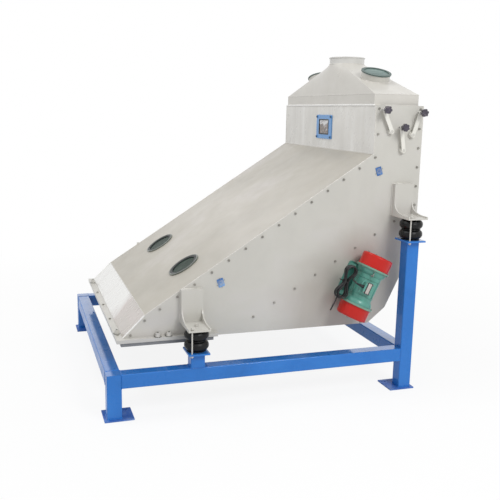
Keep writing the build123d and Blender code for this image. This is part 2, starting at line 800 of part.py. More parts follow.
flange_in = motor_flange_out - motor_flange_thickness
shoulder_in = motor_barrel
pocket_in = motor_flange_out - bearing_width
rotor_radius = motor_barrel * rotor_share
stator_radius = motor_barrel * stator_share
winding_half = motor_barrel * winding_share
with BuildPart() as motor_housing:
    with BuildSketch(motor_plane):
        with BuildLine():
            Line((-motor_flange_out, bearing_radius), (-motor_flange_out, motor_flange_radius))
            Line((-motor_flange_out, motor_flange_radius), (-flange_in, motor_flange_radius))
            Line((-flange_in, motor_flange_radius), (-flange_in, motor_shoulder))
            TangentArc((-flange_in, motor_shoulder), (-shoulder_in, motor_barrel), tangent=(1, 0))
            Line((-shoulder_in, motor_barrel), (shoulder_in, motor_barrel))
            TangentArc((flange_in, motor_shoulder), (shoulder_in, motor_barrel), tangent=(-1, 0))
            Line((flange_in, motor_shoulder), (flange_in, motor_flange_radius))
            Line((flange_in, motor_flange_radius), (motor_flange_out, motor_flange_radius))
            Line((motor_flange_out, motor_flange_radius), (motor_flange_out, bearing_radius))
            Line((motor_flange_out, bearing_radius), (pocket_in, bearing_radius))
            Line((pocket_in, bearing_radius), (pocket_in, shaft_radius + winding_gap))
            Line((pocket_in, shaft_radius + winding_gap), (winding_half, shaft_radius + winding_gap))
            Line((winding_half, shaft_radius + winding_gap), (winding_half, stator_radius))
            Line((winding_half, stator_radius), (-winding_half, stator_radius))
            Line((-winding_half, stator_radius), (-winding_half, shaft_radius + winding_gap))
            Line((-winding_half, shaft_radius + winding_gap), (-pocket_in, shaft_radius + winding_gap))
            Line((-pocket_in, shaft_radius + winding_gap), (-pocket_in, bearing_radius))
            Line((-pocket_in, bearing_radius), (-motor_flange_out, bearing_radius))
        make_face()
    revolve(axis=shaft_axis)
    with BuildSketch(motor_plane.offset(-motor_stand)):
        RectangleRounded(motor_foot_length, motor_foot_width, motor_foot_thickness)
        with GridLocations(2 * motor_bolt_x, 2 * motor_bolt_y, 2, 2):
            Circle(stud_diameter / 2, mode=Mode.SUBTRACT)
    extrude(amount=motor_foot_thickness)
    for end in (-1, 1):
        wall_plane = across_shaft(end * (motor_foot_length / 2 - motor_flange_thickness))
        with BuildSketch(wall_plane):
            with BuildLine():
                Polyline((-motor_foot_width / 2, -motor_stand + motor_foot_thickness),
                         (motor_foot_width / 2, -motor_stand + motor_foot_thickness),
                         (motor_shoulder, -bearing_radius), (-motor_shoulder, -bearing_radius), close=True)
            make_face()
        extrude(amount=-end * 2 * motor_flange_thickness)
save_pair(motor_housing.part, "motor_housings")

with BuildPart() as motor_stator:
    with BuildSketch(across_shaft(-winding_half)):
        Circle(stator_radius)
        Circle(rotor_radius + rotor_gap, mode=Mode.SUBTRACT)
    extrude(amount=2 * winding_half)
save_pair(motor_stator.part, "motor_stators")

with BuildPart() as motor_bearings:
    for end in (-1, 1):
        with BuildSketch(across_shaft(end * pocket_in)):
            Circle(bearing_radius)
            Circle(shaft_radius + shaft_play, mode=Mode.SUBTRACT)
        extrude(amount=end * bearing_width)
save_pair(motor_bearings.part, "motor_bearings")

# Shaft with its rotor, and two half-disc weights clamped on each end inside the red covers
with BuildPart() as motor_shaft:
    with BuildSketch(across_shaft(-shaft_end)):
        Circle(shaft_radius)
    extrude(amount=2 * shaft_end)
    with BuildSketch(across_shaft(-winding_half + winding_gap)):
        Circle(rotor_radius)
    extrude(amount=2 * (winding_half - winding_gap))
save(motor_shaft.part, "near_motor_shaft")
save(mirror(motor_shaft.part, about=Plane.XZ), "far_motor_shaft")

with BuildPart() as motor_weights:
    for end in (-1, 1):
        for step in range(2):
            weight_start = motor_flange_out + weight_gap + step * (weight_thickness + weight_gap)
            with BuildSketch(across_shaft(end * weight_start)):
                Circle(weight_radius)
                with Locations((0, weight_radius)):
                    Rectangle(2 * weight_radius, 2 * weight_radius, mode=Mode.SUBTRACT)
                Circle(weight_hub)
                Circle(shaft_radius, mode=Mode.SUBTRACT)
            extrude(amount=end * weight_thickness)
save(motor_weights.part, "near_motor_weights")
save(mirror(motor_weights.part, about=Plane.XZ), "far_motor_weights")


def weight_cover(end):
    """Red pressed cup over the weights at one end of a motor, with a rounded rim."""
    with BuildPart() as cup:
        with BuildSketch(across_shaft(end * motor_flange_out)):
            Circle(cover_radius)
        extrude(amount=end * (cover_end - motor_flange_out))
        end_faces = cup.faces().sort_by(shaft_axis)
        outer_face, open_face = (end_faces[-1], end_faces[0]) if end > 0 else (end_faces[0], end_faces[-1])
        fillet(outer_face.edges(), cover_edge)
        offset(amount=-cover_wall, openings=open_face)
    return cup.part


near_covers = [weight_cover(end) for end in (-1, 1)]
save(Compound(children=near_covers + [mirror(cup, about=Plane.XZ) for cup in near_covers]), "motor_covers")

# Terminal box on the barrel, with its lid and a cable gland on the side of the hank
terminal_top = motor_barrel + terminal_height
with BuildPart() as terminal_box:
    with BuildSketch(motor_plane.offset(terminal_top)):
        with Locations((0, terminal_shift)):
            RectangleRounded(terminal_length, terminal_width, terminal_lid)
    extrude(until=Until.NEXT, target=motor_housing.part, dir=-motor_plane.z_dir)
    with BuildSketch(motor_plane.offset(terminal_top)):
        with Locations((0, terminal_shift)):
            RectangleRounded(terminal_length + terminal_lid, terminal_width + terminal_lid, terminal_lid)
    extrude(amount=terminal_lid)
    chamfer(terminal_box.faces().sort_by(Axis.Y)[0].edges(), lid_bevel)
save_pair(terminal_box.part, "terminal_boxes")

gland_height = terminal_top - terminal_height / 2
gland_foot = terminal_shift + terminal_width / 2
gland_mouth = gland_foot + gland_length
gland_plane = Plane(origin=motor_plane.from_local_coords(Vector(0, gland_foot, gland_height)),
                    x_dir=motor_plane.x_dir, z_dir=motor_plane.y_dir)
with BuildPart() as cable_gland:
    with BuildSketch(gland_plane):
        RegularPolygon(gland_radius, 6)
    extrude(amount=gland_length / 2)
    with BuildSketch(gland_plane.offset(gland_length / 2)):
        Circle(gland_radius * gland_nose_share)
    extrude(amount=gland_length / 2, taper=gland_taper)
save_pair(cable_gland.part, "cable_glands")

# Feed flaps: three splitter plates on shafts that turn in flange bearings on the side plates,
# each set by a lever outside the near plate and held by its star knob
bearing_face = half_box + bearing_flange_thickness
lever_face = bearing_face + clear
shaft_near = lever_face + lever_boss_height + lever_thickness
flap_count = len(flap_places)
for number, (x, z), lean, length in zip(range(1, flap_count + 1), flap_places, flap_leans, flap_lengths):
    tilt = radians(lean)
    up_lever = Vector(sin(tilt), 0, cos(tilt))
    flap_plane = Plane(origin=(x, -shaft_near, z), x_dir=up_lever, z_dir=(0, 1, 0))
    with BuildPart() as flap:
        with BuildSketch(flap_plane):
            Circle(flap_shaft / 2)
        extrude(amount=shaft_near + bearing_face + lever_boss_height)
        with BuildSketch(flap_plane.offset(shaft_near - inner_half + flap_play)):
            with Locations((length / 2, 0)):
                Rectangle(length, flap_sheet)
        extrude(amount=2 * (inner_half - flap_play))
    save(flap.part, f"flap_{number}")
    lever_plane = Plane(origin=(x, -lever_face, z), x_dir=up_lever, z_dir=(0, -1, 0))
    with BuildPart() as lever:
        with BuildSketch(lever_plane.offset(lever_boss_height)):
            with Locations((lever_length / 2, 0)):
                SlotCenterToCenter(lever_length, lever_width)
            with Locations((lever_length, 0)):
                Circle(knob_stud / 2 + stud_play, mode=Mode.SUBTRACT)
        extrude(amount=lever_thickness)
        with BuildSketch(lever_plane):
            Circle(lever_boss / 2)
        extrude(amount=lever_boss_height)
        with BuildSketch(lever_plane):
            Circle(flap_shaft / 2)
        extrude(amount=lever_boss_height + lever_thickness, mode=Mode.SUBTRACT)
    save(lever.part, f"flap_lever_{number}")
    knob_foot = lever_boss_height + lever_thickness + knob_stud_out
    knob_plane = Plane(origin=lever_plane.from_local_coords(Vector(lever_length, 0, 0)),
                       x_dir=lever_plane.x_dir, z_dir=lever_plane.z_dir)
    lobe_ring = knob_diameter / 2 - knob_lobe_radius
    with BuildPart() as knob:
        with BuildSketch(knob_plane.offset(clear - bearing_flange_thickness)):
            Circle(knob_stud / 2)
        extrude(amount=knob_foot + bearing_flange_thickness)
        with BuildSketch(knob_plane.offset(knob_foot)):
            Circle(lobe_ring)
            with PolarLocations(lobe_ring, knob_lobes):
                Circle(knob_lobe_radius * knob_lobe_share)
        extrude(amount=knob_height)
        with BuildSketch(knob_plane.offset(knob_foot - knob_stud / 2)):
            Circle(knob_stud)
        extrude(amount=knob_stud / 2)
    save(knob.part, f"star_knob_{number}")

with BuildPart() as flap_bearings:
    for side in (-1, 1):
        with BuildSketch(Plane.XZ.offset(-side * half_box)):
            for place in flap_places:
                with Locations(place):
                    Circle(bearing_flange / 2)
                    Circle(flap_shaft / 2 + bearing_bore_play, mode=Mode.SUBTRACT)
        extrude(amount=-side * bearing_flange_thickness)
save(flap_bearings.part, "flap_bearings")

# Angle plates that show the throw of the box
gauge_places = [(high_spring_x - reach, z) for reach, z in zip(gauge_reaches, gauge_z_places)]
with BuildPart() as angle_plates:
    with BuildSketch(Plane.XZ.offset(half_box)):
        with Locations(*[Location((x, z, 0), (0, 0, gauge_turn)) for x, z in gauge_places]):
            RectangleRounded(gauge_width, gauge_height, gauge_thickness)
    extrude(amount=gauge_thickness)
save(angle_plates.part, "angle_plates")


def bolt_row(start, end, count):
    """Evenly spaced places from a start to an end point."""
    steps = max(count - 1, 1)
    return [(start[0] + (end[0] - start[0]) * i / steps, start[1] + (end[1] - start[1]) * i / steps)
            for i in range(count)]


def beside_edge(start, end, along, inward):
    """Point a distance along an edge and a distance to the right of it."""
    run = Vector(end[0] - start[0], end[1] - start[1]).normalized()
    return (start[0] + run.X * along + run.Y * inward, start[1] + run.Y * along - run.X * inward)


knee, shoulder, outlet_edge = (knee_x, knee_z), (shoulder_x, shoulder_z), (outlet_x, outlet_top)
flange_bolt_pitch = (box_width - 2 * flange_bolt_edge) / (flange_bolt_count - 1)
side_bolts = bolt_row(beside_edge(knee, shoulder, first_bolt, edge_margin),
                      beside_edge(knee, shoulder, cover_run, edge_margin), cover_bolt_count)
side_bolts += bolt_row(beside_edge(outlet_edge, knee, 2 * edge_margin, edge_margin),
                       beside_edge(outlet_edge, knee, hood_plate_run - edge_margin, edge_margin), 2)
side_bolts += bolt_row((pan_bend_x - pan_bolt_back, pan_bend_z - pan_bolt_drop),
                       (pan_high_x - edge_margin, pan_high_z - edge_margin), pan_bolt_count)
side_bolts += bolt_row((box_back - edge_margin, pan_high_z), (box_back - edge_margin, box_top - edge_margin),
                       back_bolt_count)
side_bolts += bolt_row((shoulder_x + edge_margin, shoulder_z + front_bolt_rise),
                       (shoulder_x + edge_margin, box_top - edge_margin), 2)
with BuildPart() as box_bolts:
    for side in (-1, 1):
        with BuildSketch(Plane.XZ.offset(-side * half_box)):
            with Locations(*side_bolts):
                RegularPolygon(bolt_head / 2, 6)
        extrude(amount=-side * bolt_height)
    with BuildSketch(Plane((outlet_x - flange_width / 2, 0, outlet_top))):
        with GridLocations(0, flange_bolt_pitch, 1, flange_bolt_count):
            RegularPolygon(bolt_head / 2, 6)
    extrude(amount=bolt_height)
save(box_bolts.part, "box_bolts")

# Round clamp nuts on the flange: two beside each side plate and two on the strip at the outlet end
clamp_side_y = half_box + flange_width / 2
clamp_places = [(high_spring_x - reach, side * clamp_side_y) for reach in clamp_reaches for side in (-1, 1)]
clamp_places += [(outlet_x - flange_width / 2, side * clamp_y) for side in (-1, 1)]
with BuildPart() as clamp_nuts:
    with BuildSketch(Plane((0, 0, outlet_top))):
        with Locations(*clamp_places):
            Circle(clamp_radius)
    extrude(amount=clamp_height, taper=clamp_taper)
save(clamp_nuts.part, "clamp_nuts")

# Motor cable: from the gland into a tied hank beside the motor, and a loose tail below it.
# The points are in the motor's plane: along the shaft, across it, and out from the side plate.
hank_plane = Plane(origin=motor_plane.from_local_coords(Vector(hank_along, hank_across, hank_out)),
                   x_dir=motor_plane.x_dir, z_dir=motor_plane.z_dir)
with BuildPart() as cable_hank:
    with BuildSketch(hank_plane.offset(-hank_thickness / 2)):
        RectangleRounded(hank_length, hank_width, hank_round)
    extrude(amount=hank_thickness)
save(cable_hank.part, "cable_hank")


def cable(points, name):
    """Plain tube along straight runs and large tangent arcs; prints its radii and its length."""
    corners = [motor_plane.from_local_coords(Vector(*point)) for point in points]
    runs = [b - a for a, b in zip(corners, corners[1:])]
    radii = [arc_share * min(a.length, b.length) / tan(radians(a.get_angle(b) / 2)) for a, b in zip(runs, runs[1:])]
    with BuildPart() as tube_piece:
        with BuildLine() as path:
            FilletPolyline(*corners, radius=radii)
        with BuildSketch(Plane(origin=corners[0], z_dir=runs[0])):
            Circle(cable_diameter / 2)
        sweep(path=path.wires()[0])
    save(tube_piece.part, name)
    section = pi * cable_diameter ** 2 / 4
    print(name, "radii", [round(radius) for radius in radii], "length", round(path.wires()[0].length),
          "volume over section times length", round(tube_piece.part.volume / section / path.wires()[0].length, 4))


hank_face = hank_out + hank_thickness / 2
hank_foot = hank_along - hank_length / 2
cable([(0, gland_mouth, gland_height), (0, gland_mouth + lead_run, gland_height),
       (lead_along, lead_across, gland_height - lead_drop), (lead_along, lead_across, hank_face)], "cable_lead")
cable([(hank_foot, tail_across, hank_out), *tail_points], "cable_tail")
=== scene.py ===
import bpy
import bmesh
import json
from math import cos, pi, radians, sin
from mathutils import Matrix, Vector


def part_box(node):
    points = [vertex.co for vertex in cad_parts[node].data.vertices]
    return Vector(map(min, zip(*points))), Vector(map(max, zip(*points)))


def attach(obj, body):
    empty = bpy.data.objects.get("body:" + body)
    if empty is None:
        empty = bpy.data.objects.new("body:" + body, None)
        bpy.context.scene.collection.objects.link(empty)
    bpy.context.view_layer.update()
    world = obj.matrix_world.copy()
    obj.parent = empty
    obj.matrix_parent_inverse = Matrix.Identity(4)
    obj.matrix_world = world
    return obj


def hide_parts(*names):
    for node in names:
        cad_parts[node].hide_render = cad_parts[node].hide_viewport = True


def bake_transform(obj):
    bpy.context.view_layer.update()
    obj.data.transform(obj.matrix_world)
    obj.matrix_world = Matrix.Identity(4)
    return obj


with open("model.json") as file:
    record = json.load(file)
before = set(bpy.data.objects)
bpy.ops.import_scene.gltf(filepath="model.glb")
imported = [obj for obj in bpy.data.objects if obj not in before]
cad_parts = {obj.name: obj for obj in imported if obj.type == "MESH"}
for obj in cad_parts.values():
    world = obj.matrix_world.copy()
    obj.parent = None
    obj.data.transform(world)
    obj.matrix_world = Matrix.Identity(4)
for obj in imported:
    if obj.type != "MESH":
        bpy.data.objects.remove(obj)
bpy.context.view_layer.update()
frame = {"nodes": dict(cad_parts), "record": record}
nodes = frame["nodes"]

# Sign in y and word of each side
SIDES = ((-1, "near"), (1, "far"))


# Places taken from the frame, in metres: x along the sieve, y across it, z up
def node_box(name):
    """Low and high corner of a node, to the micrometre."""
    return [[round(v, 6) for v in corner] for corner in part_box(name)]


(PLATE_FRONT, _, _), (PLATE_BACK, PLATE_FACE, BOX_TOP) = node_box("side_plate_far")
(HOOD_FRONT, _, _), (HOOD_BACK, HOOD_HALF_LENGTH, HOOD_TOP) = node_box("feed_hood")
FLANGE_TOP = node_box("outlet_flange")[1][2]
FRONT_X, _, FRONT_FOOT = node_box("inlet_front")[0]
(SIGHT_FACE, _, SIGHT_LOW), (_, _, SIGHT_HIGH) = node_box("sight_frame")
(CLAMP_FRONT, _, CLAMP_FOOT), (_, CLAMP_SIDE, _) = node_box("clamp_nuts")
(LOW_POST_LEFT, _, LOW_POST_FOOT), (LOW_POST_RIGHT, POST_SIDE, LOW_POST_TOP) = node_box("short_posts")
(HIGH_POST_LEFT, _, HIGH_POST_FOOT), (HIGH_POST_RIGHT, _, HIGH_POST_TOP) = node_box("high_posts")

# Foot, fold and top of the sloping cover as x and z; the fold is set here, since no node's box gives it
OUTLET = (PLATE_FRONT, FLANGE_TOP)
KNEE = (-0.857, 0.657)
SHOULDER = (FRONT_X, FRONT_FOOT)

# Middles of the hood, the sight glass, the posts and the bellows on them, and the width of the frame's tube
HOOD_MIDDLE = (HOOD_FRONT + HOOD_BACK) / 2
SIGHT_MIDDLE = (SIGHT_LOW + SIGHT_HIGH) / 2
LOW_SPRING_X = (LOW_POST_LEFT + LOW_POST_RIGHT) / 2
HIGH_SPRING_X = (HIGH_POST_LEFT + HIGH_POST_RIGHT) / 2
TUBE = HIGH_POST_RIGHT - HIGH_POST_LEFT
SPRING_Y = POST_SIDE - TUBE / 2


# Materials
def lin(r, g, b):
    """Linear colour from the 0 to 255 of sRGB."""
    out = []
    for v in (r, g, b):
        v /= 255
        out.append(v / 12.92 if v <= 0.04045 else ((v + 0.055) / 1.055) ** 2.4)
    return tuple(out) + (1,)


def toned(colour, factor, plus=0.0):
    """The colour made darker or lighter."""
    return tuple(min(1, v * factor + plus) for v in colour[:3]) + (1,)


def plain(r, g=None, b=None):
    """Linear colour of one value, or of three."""
    return (r, r if g is None else g, r if b is None else b, 1)


class Finish:
    """A node material, with short methods for the nodes that all the finishes use."""

    def __init__(self, name):
        self.material = bpy.data.materials.new(name)
        self.material.use_nodes = True
        self.tree = self.material.node_tree
        self.surface = self.tree.nodes["Principled BSDF"]
        self.place = self.node("ShaderNodeTexCoord").outputs["Object"]

    def node(self, kind, **settings):
        node = self.tree.nodes.new(kind)
        for key, value in settings.items():
            setattr(node, key, value)
        return node

    def feed(self, node, values):
        """Links the sockets and sets the constants among the values, by the name or number of the input."""
        for key, value in values.items():
            if isinstance(value, bpy.types.NodeSocket):
                self.tree.links.new(value, node.inputs[key])
            else:
                node.inputs[key].default_value = value

    def noise(self, scale, detail, rough=0.55, stretch=None, distortion=0.0):
        source = self.place
        if stretch:
            mapping = self.node("ShaderNodeMapping")
            self.feed(mapping, {"Scale": stretch, "Vector": source})
            source = mapping.outputs["Vector"]
        node = self.node("ShaderNodeTexNoise")
        self.feed(node, {"Scale": scale, "Detail": detail, "Roughness": rough, "Distortion": distortion,
                         "Vector": source})
        return node.outputs["Fac"]

    def ramp(self, factor, *stops):
        """Colour ramp through stops of position and colour."""
        node = self.node("ShaderNodeValToRGB")
        elements = node.color_ramp.elements
        while len(elements) < len(stops):
            elements.new(0.5)
        for element, (position, colour) in zip(elements, stops):
            element.position = position
            element.color = colour
        self.feed(node, {"Fac": factor})
        return node.outputs["Color"]

    def span(self, value, low, high, start=0.3, end=0.7):
        """Low to high while the value goes from start to end."""
        node = self.node("ShaderNodeMapRange")
        self.feed(node, {"From Min": start, "From Max": end, "To Min": low, "To Max": high, "Value": value})
        return node.outputs["Result"]

    def mix(self, factor, first, second, blend="MIX"):
        """Two colours mixed; the numbers are the colour inputs and output of the node."""
        node = self.node("ShaderNodeMix", data_type="RGBA", blend_type=blend)
        self.feed(node, {0: factor, 6: first, 7: second})
        return node.outputs[2]

    def math(self, operation, first, second):
        node = self.node("ShaderNodeMath", operation=operation)
        self.feed(node, {0: first, 1: second})
        return node.outputs[0]

    def vector(self, operation, first, second):
        node = self.node("ShaderNodeVectorMath", operation=operation)
        self.feed(node, {0: first, 1: second})
        return node.outputs

    def axis(self, letter, source=None):
        """One coordinate of the place, or of another vector."""
        node = self.node("ShaderNodeSeparateXYZ")
        self.feed(node, {"Vector": source or self.place})
        return node.outputs[letter]

    def bump(self, height, strength, distance, under=None):
        node = self.node("ShaderNodeBump")
        self.feed(node, {"Strength": strength, "Distance": distance, "Height": height})
        if under:
            self.feed(node, {"Normal": under})
        self.feed(self.surface, {"Normal": node.outputs["Normal"]})
        return node.outputs["Normal"]

    def skin(self, colour, gloss, low, high, constants=None):
        """Base colour, a roughness from low to high after a noise, and other inputs of the surface."""
        self.feed(self.surface, {"Base Color": colour, "Roughness": self.span(gloss, low, high)})
        self.feed(self.surface, constants or {})


# Where the finishes change, in metres: the middle of the painted shade round the motors as seen from the
# side, the reach over which it fades, the cover's run in x along which the painted sheen band lies, the near
# strip of the outlet plate in y where its painted reflection turns grey, and the heights between which the
# seals and glass of the cover give way to those of the hood's ports
MOTOR_SHADE = (0.72, 0, 0.55)
MOTOR_SHADE_FADE = (0.42, 0.72)
COVER_RUN = (-0.86, 0.85)
NEAR_STRIP = (-0.62, -0.1)
PORTS_BEGIN = (2.1, 2.2)


def paint(name, base, tint, rough, dirt, coat=0.0, peel=0.25, spec=0.5, reflection_streaks=0.0, drift=2.2, sheen_band=0.0,
          shade_and_pale_top=None):
    """Sprayed enamel: slow colour drift, fine orange peel, uneven gloss.

    Sheen band: cover's middle lighter, ends darker, a painted sheen. Shade wash: a painted shade round the
    motors.
    """
    m = Finish(name)
    slow = m.noise(drift, 5, 0.6, distortion=0.4)
    colour = m.ramp(slow, (0.3, toned(base, 1 - dirt)), (0.5, base), (0.72, tint))
    fine = m.ramp(m.noise(60, 3, 0.6), (0.3, plain(0.5)), (0.7, plain(0.6)))
    colour = m.mix(0.08, colour, fine, "SOFT_LIGHT")
    # reflection streaks: lighter and darker runs of tone, a painted reflection of the room
    if reflection_streaks:
        reflection_noise = m.noise(5, 3, 0.5, stretch=(1, 1.6, 0.16), distortion=0.6)
        shade = m.ramp(reflection_noise, (0.35, plain(0.36)), (0.62, plain(0.66)), (0.7, plain(0.95)))
        colour = m.mix(reflection_streaks, colour, shade, "SOFT_LIGHT")
    # sheen band: the middle of the cover's run lighter and its ends darker, a painted sheen
    if sheen_band:
        wander = m.span(m.noise(1.3, 3, 0.5, distortion=0.4), -0.16, 0.16)
        along = m.math("ADD", m.span(m.axis("X"), 0.0, 1.0, *COVER_RUN), wander)
        shade = m.ramp(along, (0.1, plain(0.44, 0.44, 0.43)), (0.47, plain(0.645, 0.64, 0.65)),
                       (0.86, plain(0.43)))
        colour = m.mix(sheen_band, colour, shade, "SOFT_LIGHT")
    # shade wash: a grey multiplied into the colour round the motors and fading outwards, a painted shade
    if shade_and_pale_top:
        flat = m.vector("MULTIPLY", m.place, (1, 0, 1))["Vector"]
        away = m.vector("DISTANCE", flat, MOTOR_SHADE)["Value"]
        reach = m.math("ADD", away, m.span(m.noise(2.4, 3, 0.5, distortion=0.5), -0.1, 0.1))
        colour = m.mix(m.span(reach, 1.0, 0.0, *MOTOR_SHADE_FADE), colour, shade_and_pale_top, "MULTIPLY")
    m.skin(colour, m.noise(9, 4, 0.6), rough - 0.07, rough + 0.09,
           {"Specular IOR Level": spec, "Coat Weight": coat, "Coat Roughness": 0.09})
    m.bump(m.noise(260, 2, 0.5), peel, 0.0004, m.bump(m.noise(3.2, 2, 0.5), 0.35, 0.004))
    return m.material


def beam_paint(name, base, tint):
    """Enamel of the frame: it flowed out smooth on the upward faces, which mirror the room at a low angle."""
    m = Finish(name)
    colour = m.ramp(m.noise(2.2, 5, 0.6, distortion=0.4), (0.3, toned(base, 0.88)), (0.5, base), (0.72, tint))
    upward = m.axis("Z", m.node("ShaderNodeNewGeometry").outputs["Normal"])
    m.skin(colour, m.noise(9, 4, 0.6), 0.23, 0.39,
           {"Specular IOR Level": 0.12, "Coat Weight": m.span(upward, 0.18, 1.0, 0.85, 0.98), "Coat IOR": 2.0,
            "Coat Roughness": 0.07})
    m.bump(m.noise(260, 2, 0.5), 0.25, 0.0004, m.bump(m.noise(3.2, 2, 0.5), 0.35, 0.004))
    return m.material


def chute(name):
    """Glossy pale enamel on the rolled outlet plate, with a painted reflection: bright wavy patches, greyer
    by the near edge.
    """
    m = Finish(name)
    near_edge = m.span(m.axis("Y"), 0.0, 1.0, *NEAR_STRIP)
    reflection_wave = m.span(m.noise(2.6, 3, 0.5, stretch=(1, 0.6, 1), distortion=1.2), -0.35, 0.35)
    colour = m.ramp(m.math("ADD", near_edge, reflection_wave), (0.1, lin(198, 191, 184)), (0.4, lin(206, 196, 191)),
                    (0.62, lin(226, 222, 219)), (0.85, lin(243, 243, 240)))
    m.skin(colour, m.noise(8, 3), 0.2, 0.34, {"Coat Weight": 0.35, "Coat Roughness": 0.1})
    m.bump(m.noise(3.6, 2, 0.5), 0.5, 0.006)
    return m.material


def cast(name, base, rough=0.4):
    """Enamel over a rough sand casting."""
    m = Finish(name)
    drift = m.noise(9, 5, 0.65, distortion=0.5)
    colour = m.ramp(drift, (0.3, toned(base, 0.78)), (0.5, base), (0.75, toned(base, 1.15)))
    m.skin(colour, m.noise(20, 4), rough - 0.12, rough + 0.14, {"Coat Weight": 0.35, "Coat Roughness": 0.15})
    m.bump(m.noise(190, 3, 0.6), 0.3, 0.0006, m.bump(m.noise(38, 4, 0.6), 0.5, 0.0016))
    return m.material


def metal(name, base, rough, grain=(1, 1, 30)):
    """Metal with a drawn grain, or an even one when the grain isn't stretched."""
    m = Finish(name)
    lines = m.noise(40, 4, 0.6, stretch=grain)
    colour = m.ramp(lines, (0.3, toned(base, 0.7)), (0.7, base))
    m.skin(colour, m.noise(30, 3), rough - 0.1, rough + 0.12, {"Metallic": 1.0})
    m.bump(lines, 0.15, 0.0004)
    return m.material


def rubber(name, base, rough, bumpy=0.3, spec=0.5):
    """Rubber or soft black plastic with dusty patches."""
    m = Finish(name)
    colour = m.ramp(m.noise(14, 5, 0.65), (0.35, base), (0.75, toned(base, 1.9, 0.004)))
    m.skin(colour, m.noise(25, 4), rough - 0.1, rough + 0.15, {"Specular IOR Level": spec})
    m.bump(m.noise(180, 3, 0.6), bumpy, 0.0006)
    return m.material


def ring_seal(name, low, high):
    """Ring seals: black on the sloping cover, bleached grey-green on the two ports above the feed."""
    m = Finish(name)
    height = m.span(m.axis("Z"), 0.0, 1.0, *PORTS_BEGIN)
    mottle = m.span(m.noise(16, 4, 0.6), -0.12, 0.12)
    colour = m.ramp(m.math("ADD", height, mottle), (0.0, low), (1.0, high))
    m.skin(colour, m.noise(25, 4), 0.36, 0.56)
    m.bump(m.noise(180, 3, 0.6), 0.2, 0.0006)
    return m.material


def pane(name, base, light):
    """Flat glass with smears and streaky patches: grey-green over the dark box, paler in the ports of the
    hood.
    """
    m = Finish(name)
    streak = m.noise(7, 4, 0.6, stretch=(1, 5, 1), distortion=0.5)
    low = m.ramp(streak, (0.32, base), (0.72, light))
    high = m.ramp(streak, (0.3, lin(90, 110, 108)), (0.55, lin(120, 140, 136)), (0.75, lin(150, 168, 164)))
    colour = m.mix(m.span(m.axis("Z"), 0.0, 1.0, *PORTS_BEGIN), low, high)
    m.skin(colour, m.noise(12, 4), 0.16, 0.32, {"IOR": 1.45, "Specular IOR Level": 0.05})
    return m.material


def grain_pane(name):
    """Sight glass over the feed: blurred brown and grey patches below, paler towards the top."""
    m = Finish(name)
    low = m.ramp(m.noise(34, 3, 0.6, distortion=0.6), (0.34, lin(58, 62, 74)), (0.5, lin(120, 96, 78)),
                 (0.62, lin(148, 142, 146)), (0.74, lin(214, 216, 222)))
    height = m.math("ADD", m.axis("Z"), m.span(m.noise(18, 3, 0.6, distortion=0.8), -0.05, 0.05))
    shade_and_pale_top = m.span(height, 0.0, 0.85, SIGHT_MIDDLE + 0.023, SIGHT_MIDDLE + 0.05)
    colour = m.mix(shade_and_pale_top, low, lin(226, 228, 232))
    m.skin(colour, m.noise(14, 3), 0.08, 0.2, {"Coat Weight": 0.5, "Coat Roughness": 0.05})
    return m.material


def speckled(name, base, glint_spot):
    """Moulded knob: dark plastic with paler spots where a noise is high, both rubbed wear and painted glints.
    """
    m = Finish(name)
    rubbed_and_glints = m.noise(46, 4, 0.6, distortion=0.4)
    colour = m.ramp(rubbed_and_glints, (0.36, base), (0.55, toned(base, 1.6)), (0.7, glint_spot))
    m.skin(colour, m.noise(30, 4), 0.18, 0.4, {"Coat Weight": 0.6, "Coat Roughness": 0.08})
    m.bump(m.noise(150, 3, 0.6), 0.25, 0.0005)
    return m.material


BOX_TONES = (lin(199, 197, 190), lin(202, 199, 195))
cream = paint("cream_enamel", *BOX_TONES, rough=0.38, coat=0.12, dirt=0.05)
# the side plates carry the painted shade round the motors
shaded_side_cream = paint("shaded_side_enamel", *BOX_TONES, rough=0.38, coat=0.12, dirt=0.05, shade_and_pale_top=lin(230, 226, 224))
# the cover carries the painted sheen band along its middle
sheened_cover_cream = paint("sheened_cover_enamel", lin(191, 186, 175), lin(210, 205, 202), rough=0.36, coat=0.12, dirt=0.12,
                    drift=0.95, sheen_band=1.0)
# a lighter copy of the cream, painted light for the weakly lit inlet front, with painted reflection streaks
lit_front_cream = paint("lit_inlet_enamel", lin(222, 220, 215), lin(234, 232, 228), rough=0.3, coat=0.2, dirt=0.08,
                    reflection_streaks=0.55)
hood_cream = paint("hood_enamel", lin(207, 204, 197), lin(214, 211, 206), rough=0.34, coat=0.2, dirt=0.06)
spout_cream = paint("spout_enamel", lin(204, 203, 199), lin(216, 215, 212), rough=0.34, coat=0.2, dirt=0.08)
# a lighter copy of the cream, painted light so that the levers read as lit against the plate
lit_lever_cream = paint("lit_lever_enamel", lin(228, 226, 218), lin(236, 234, 228), rough=0.26, coat=0.3, dirt=0.06)
weld_cream = paint("weld_enamel", lin(214, 211, 204), lin(222, 220, 214), rough=0.22, coat=0.3, dirt=0.04,
                   peel=0.1)
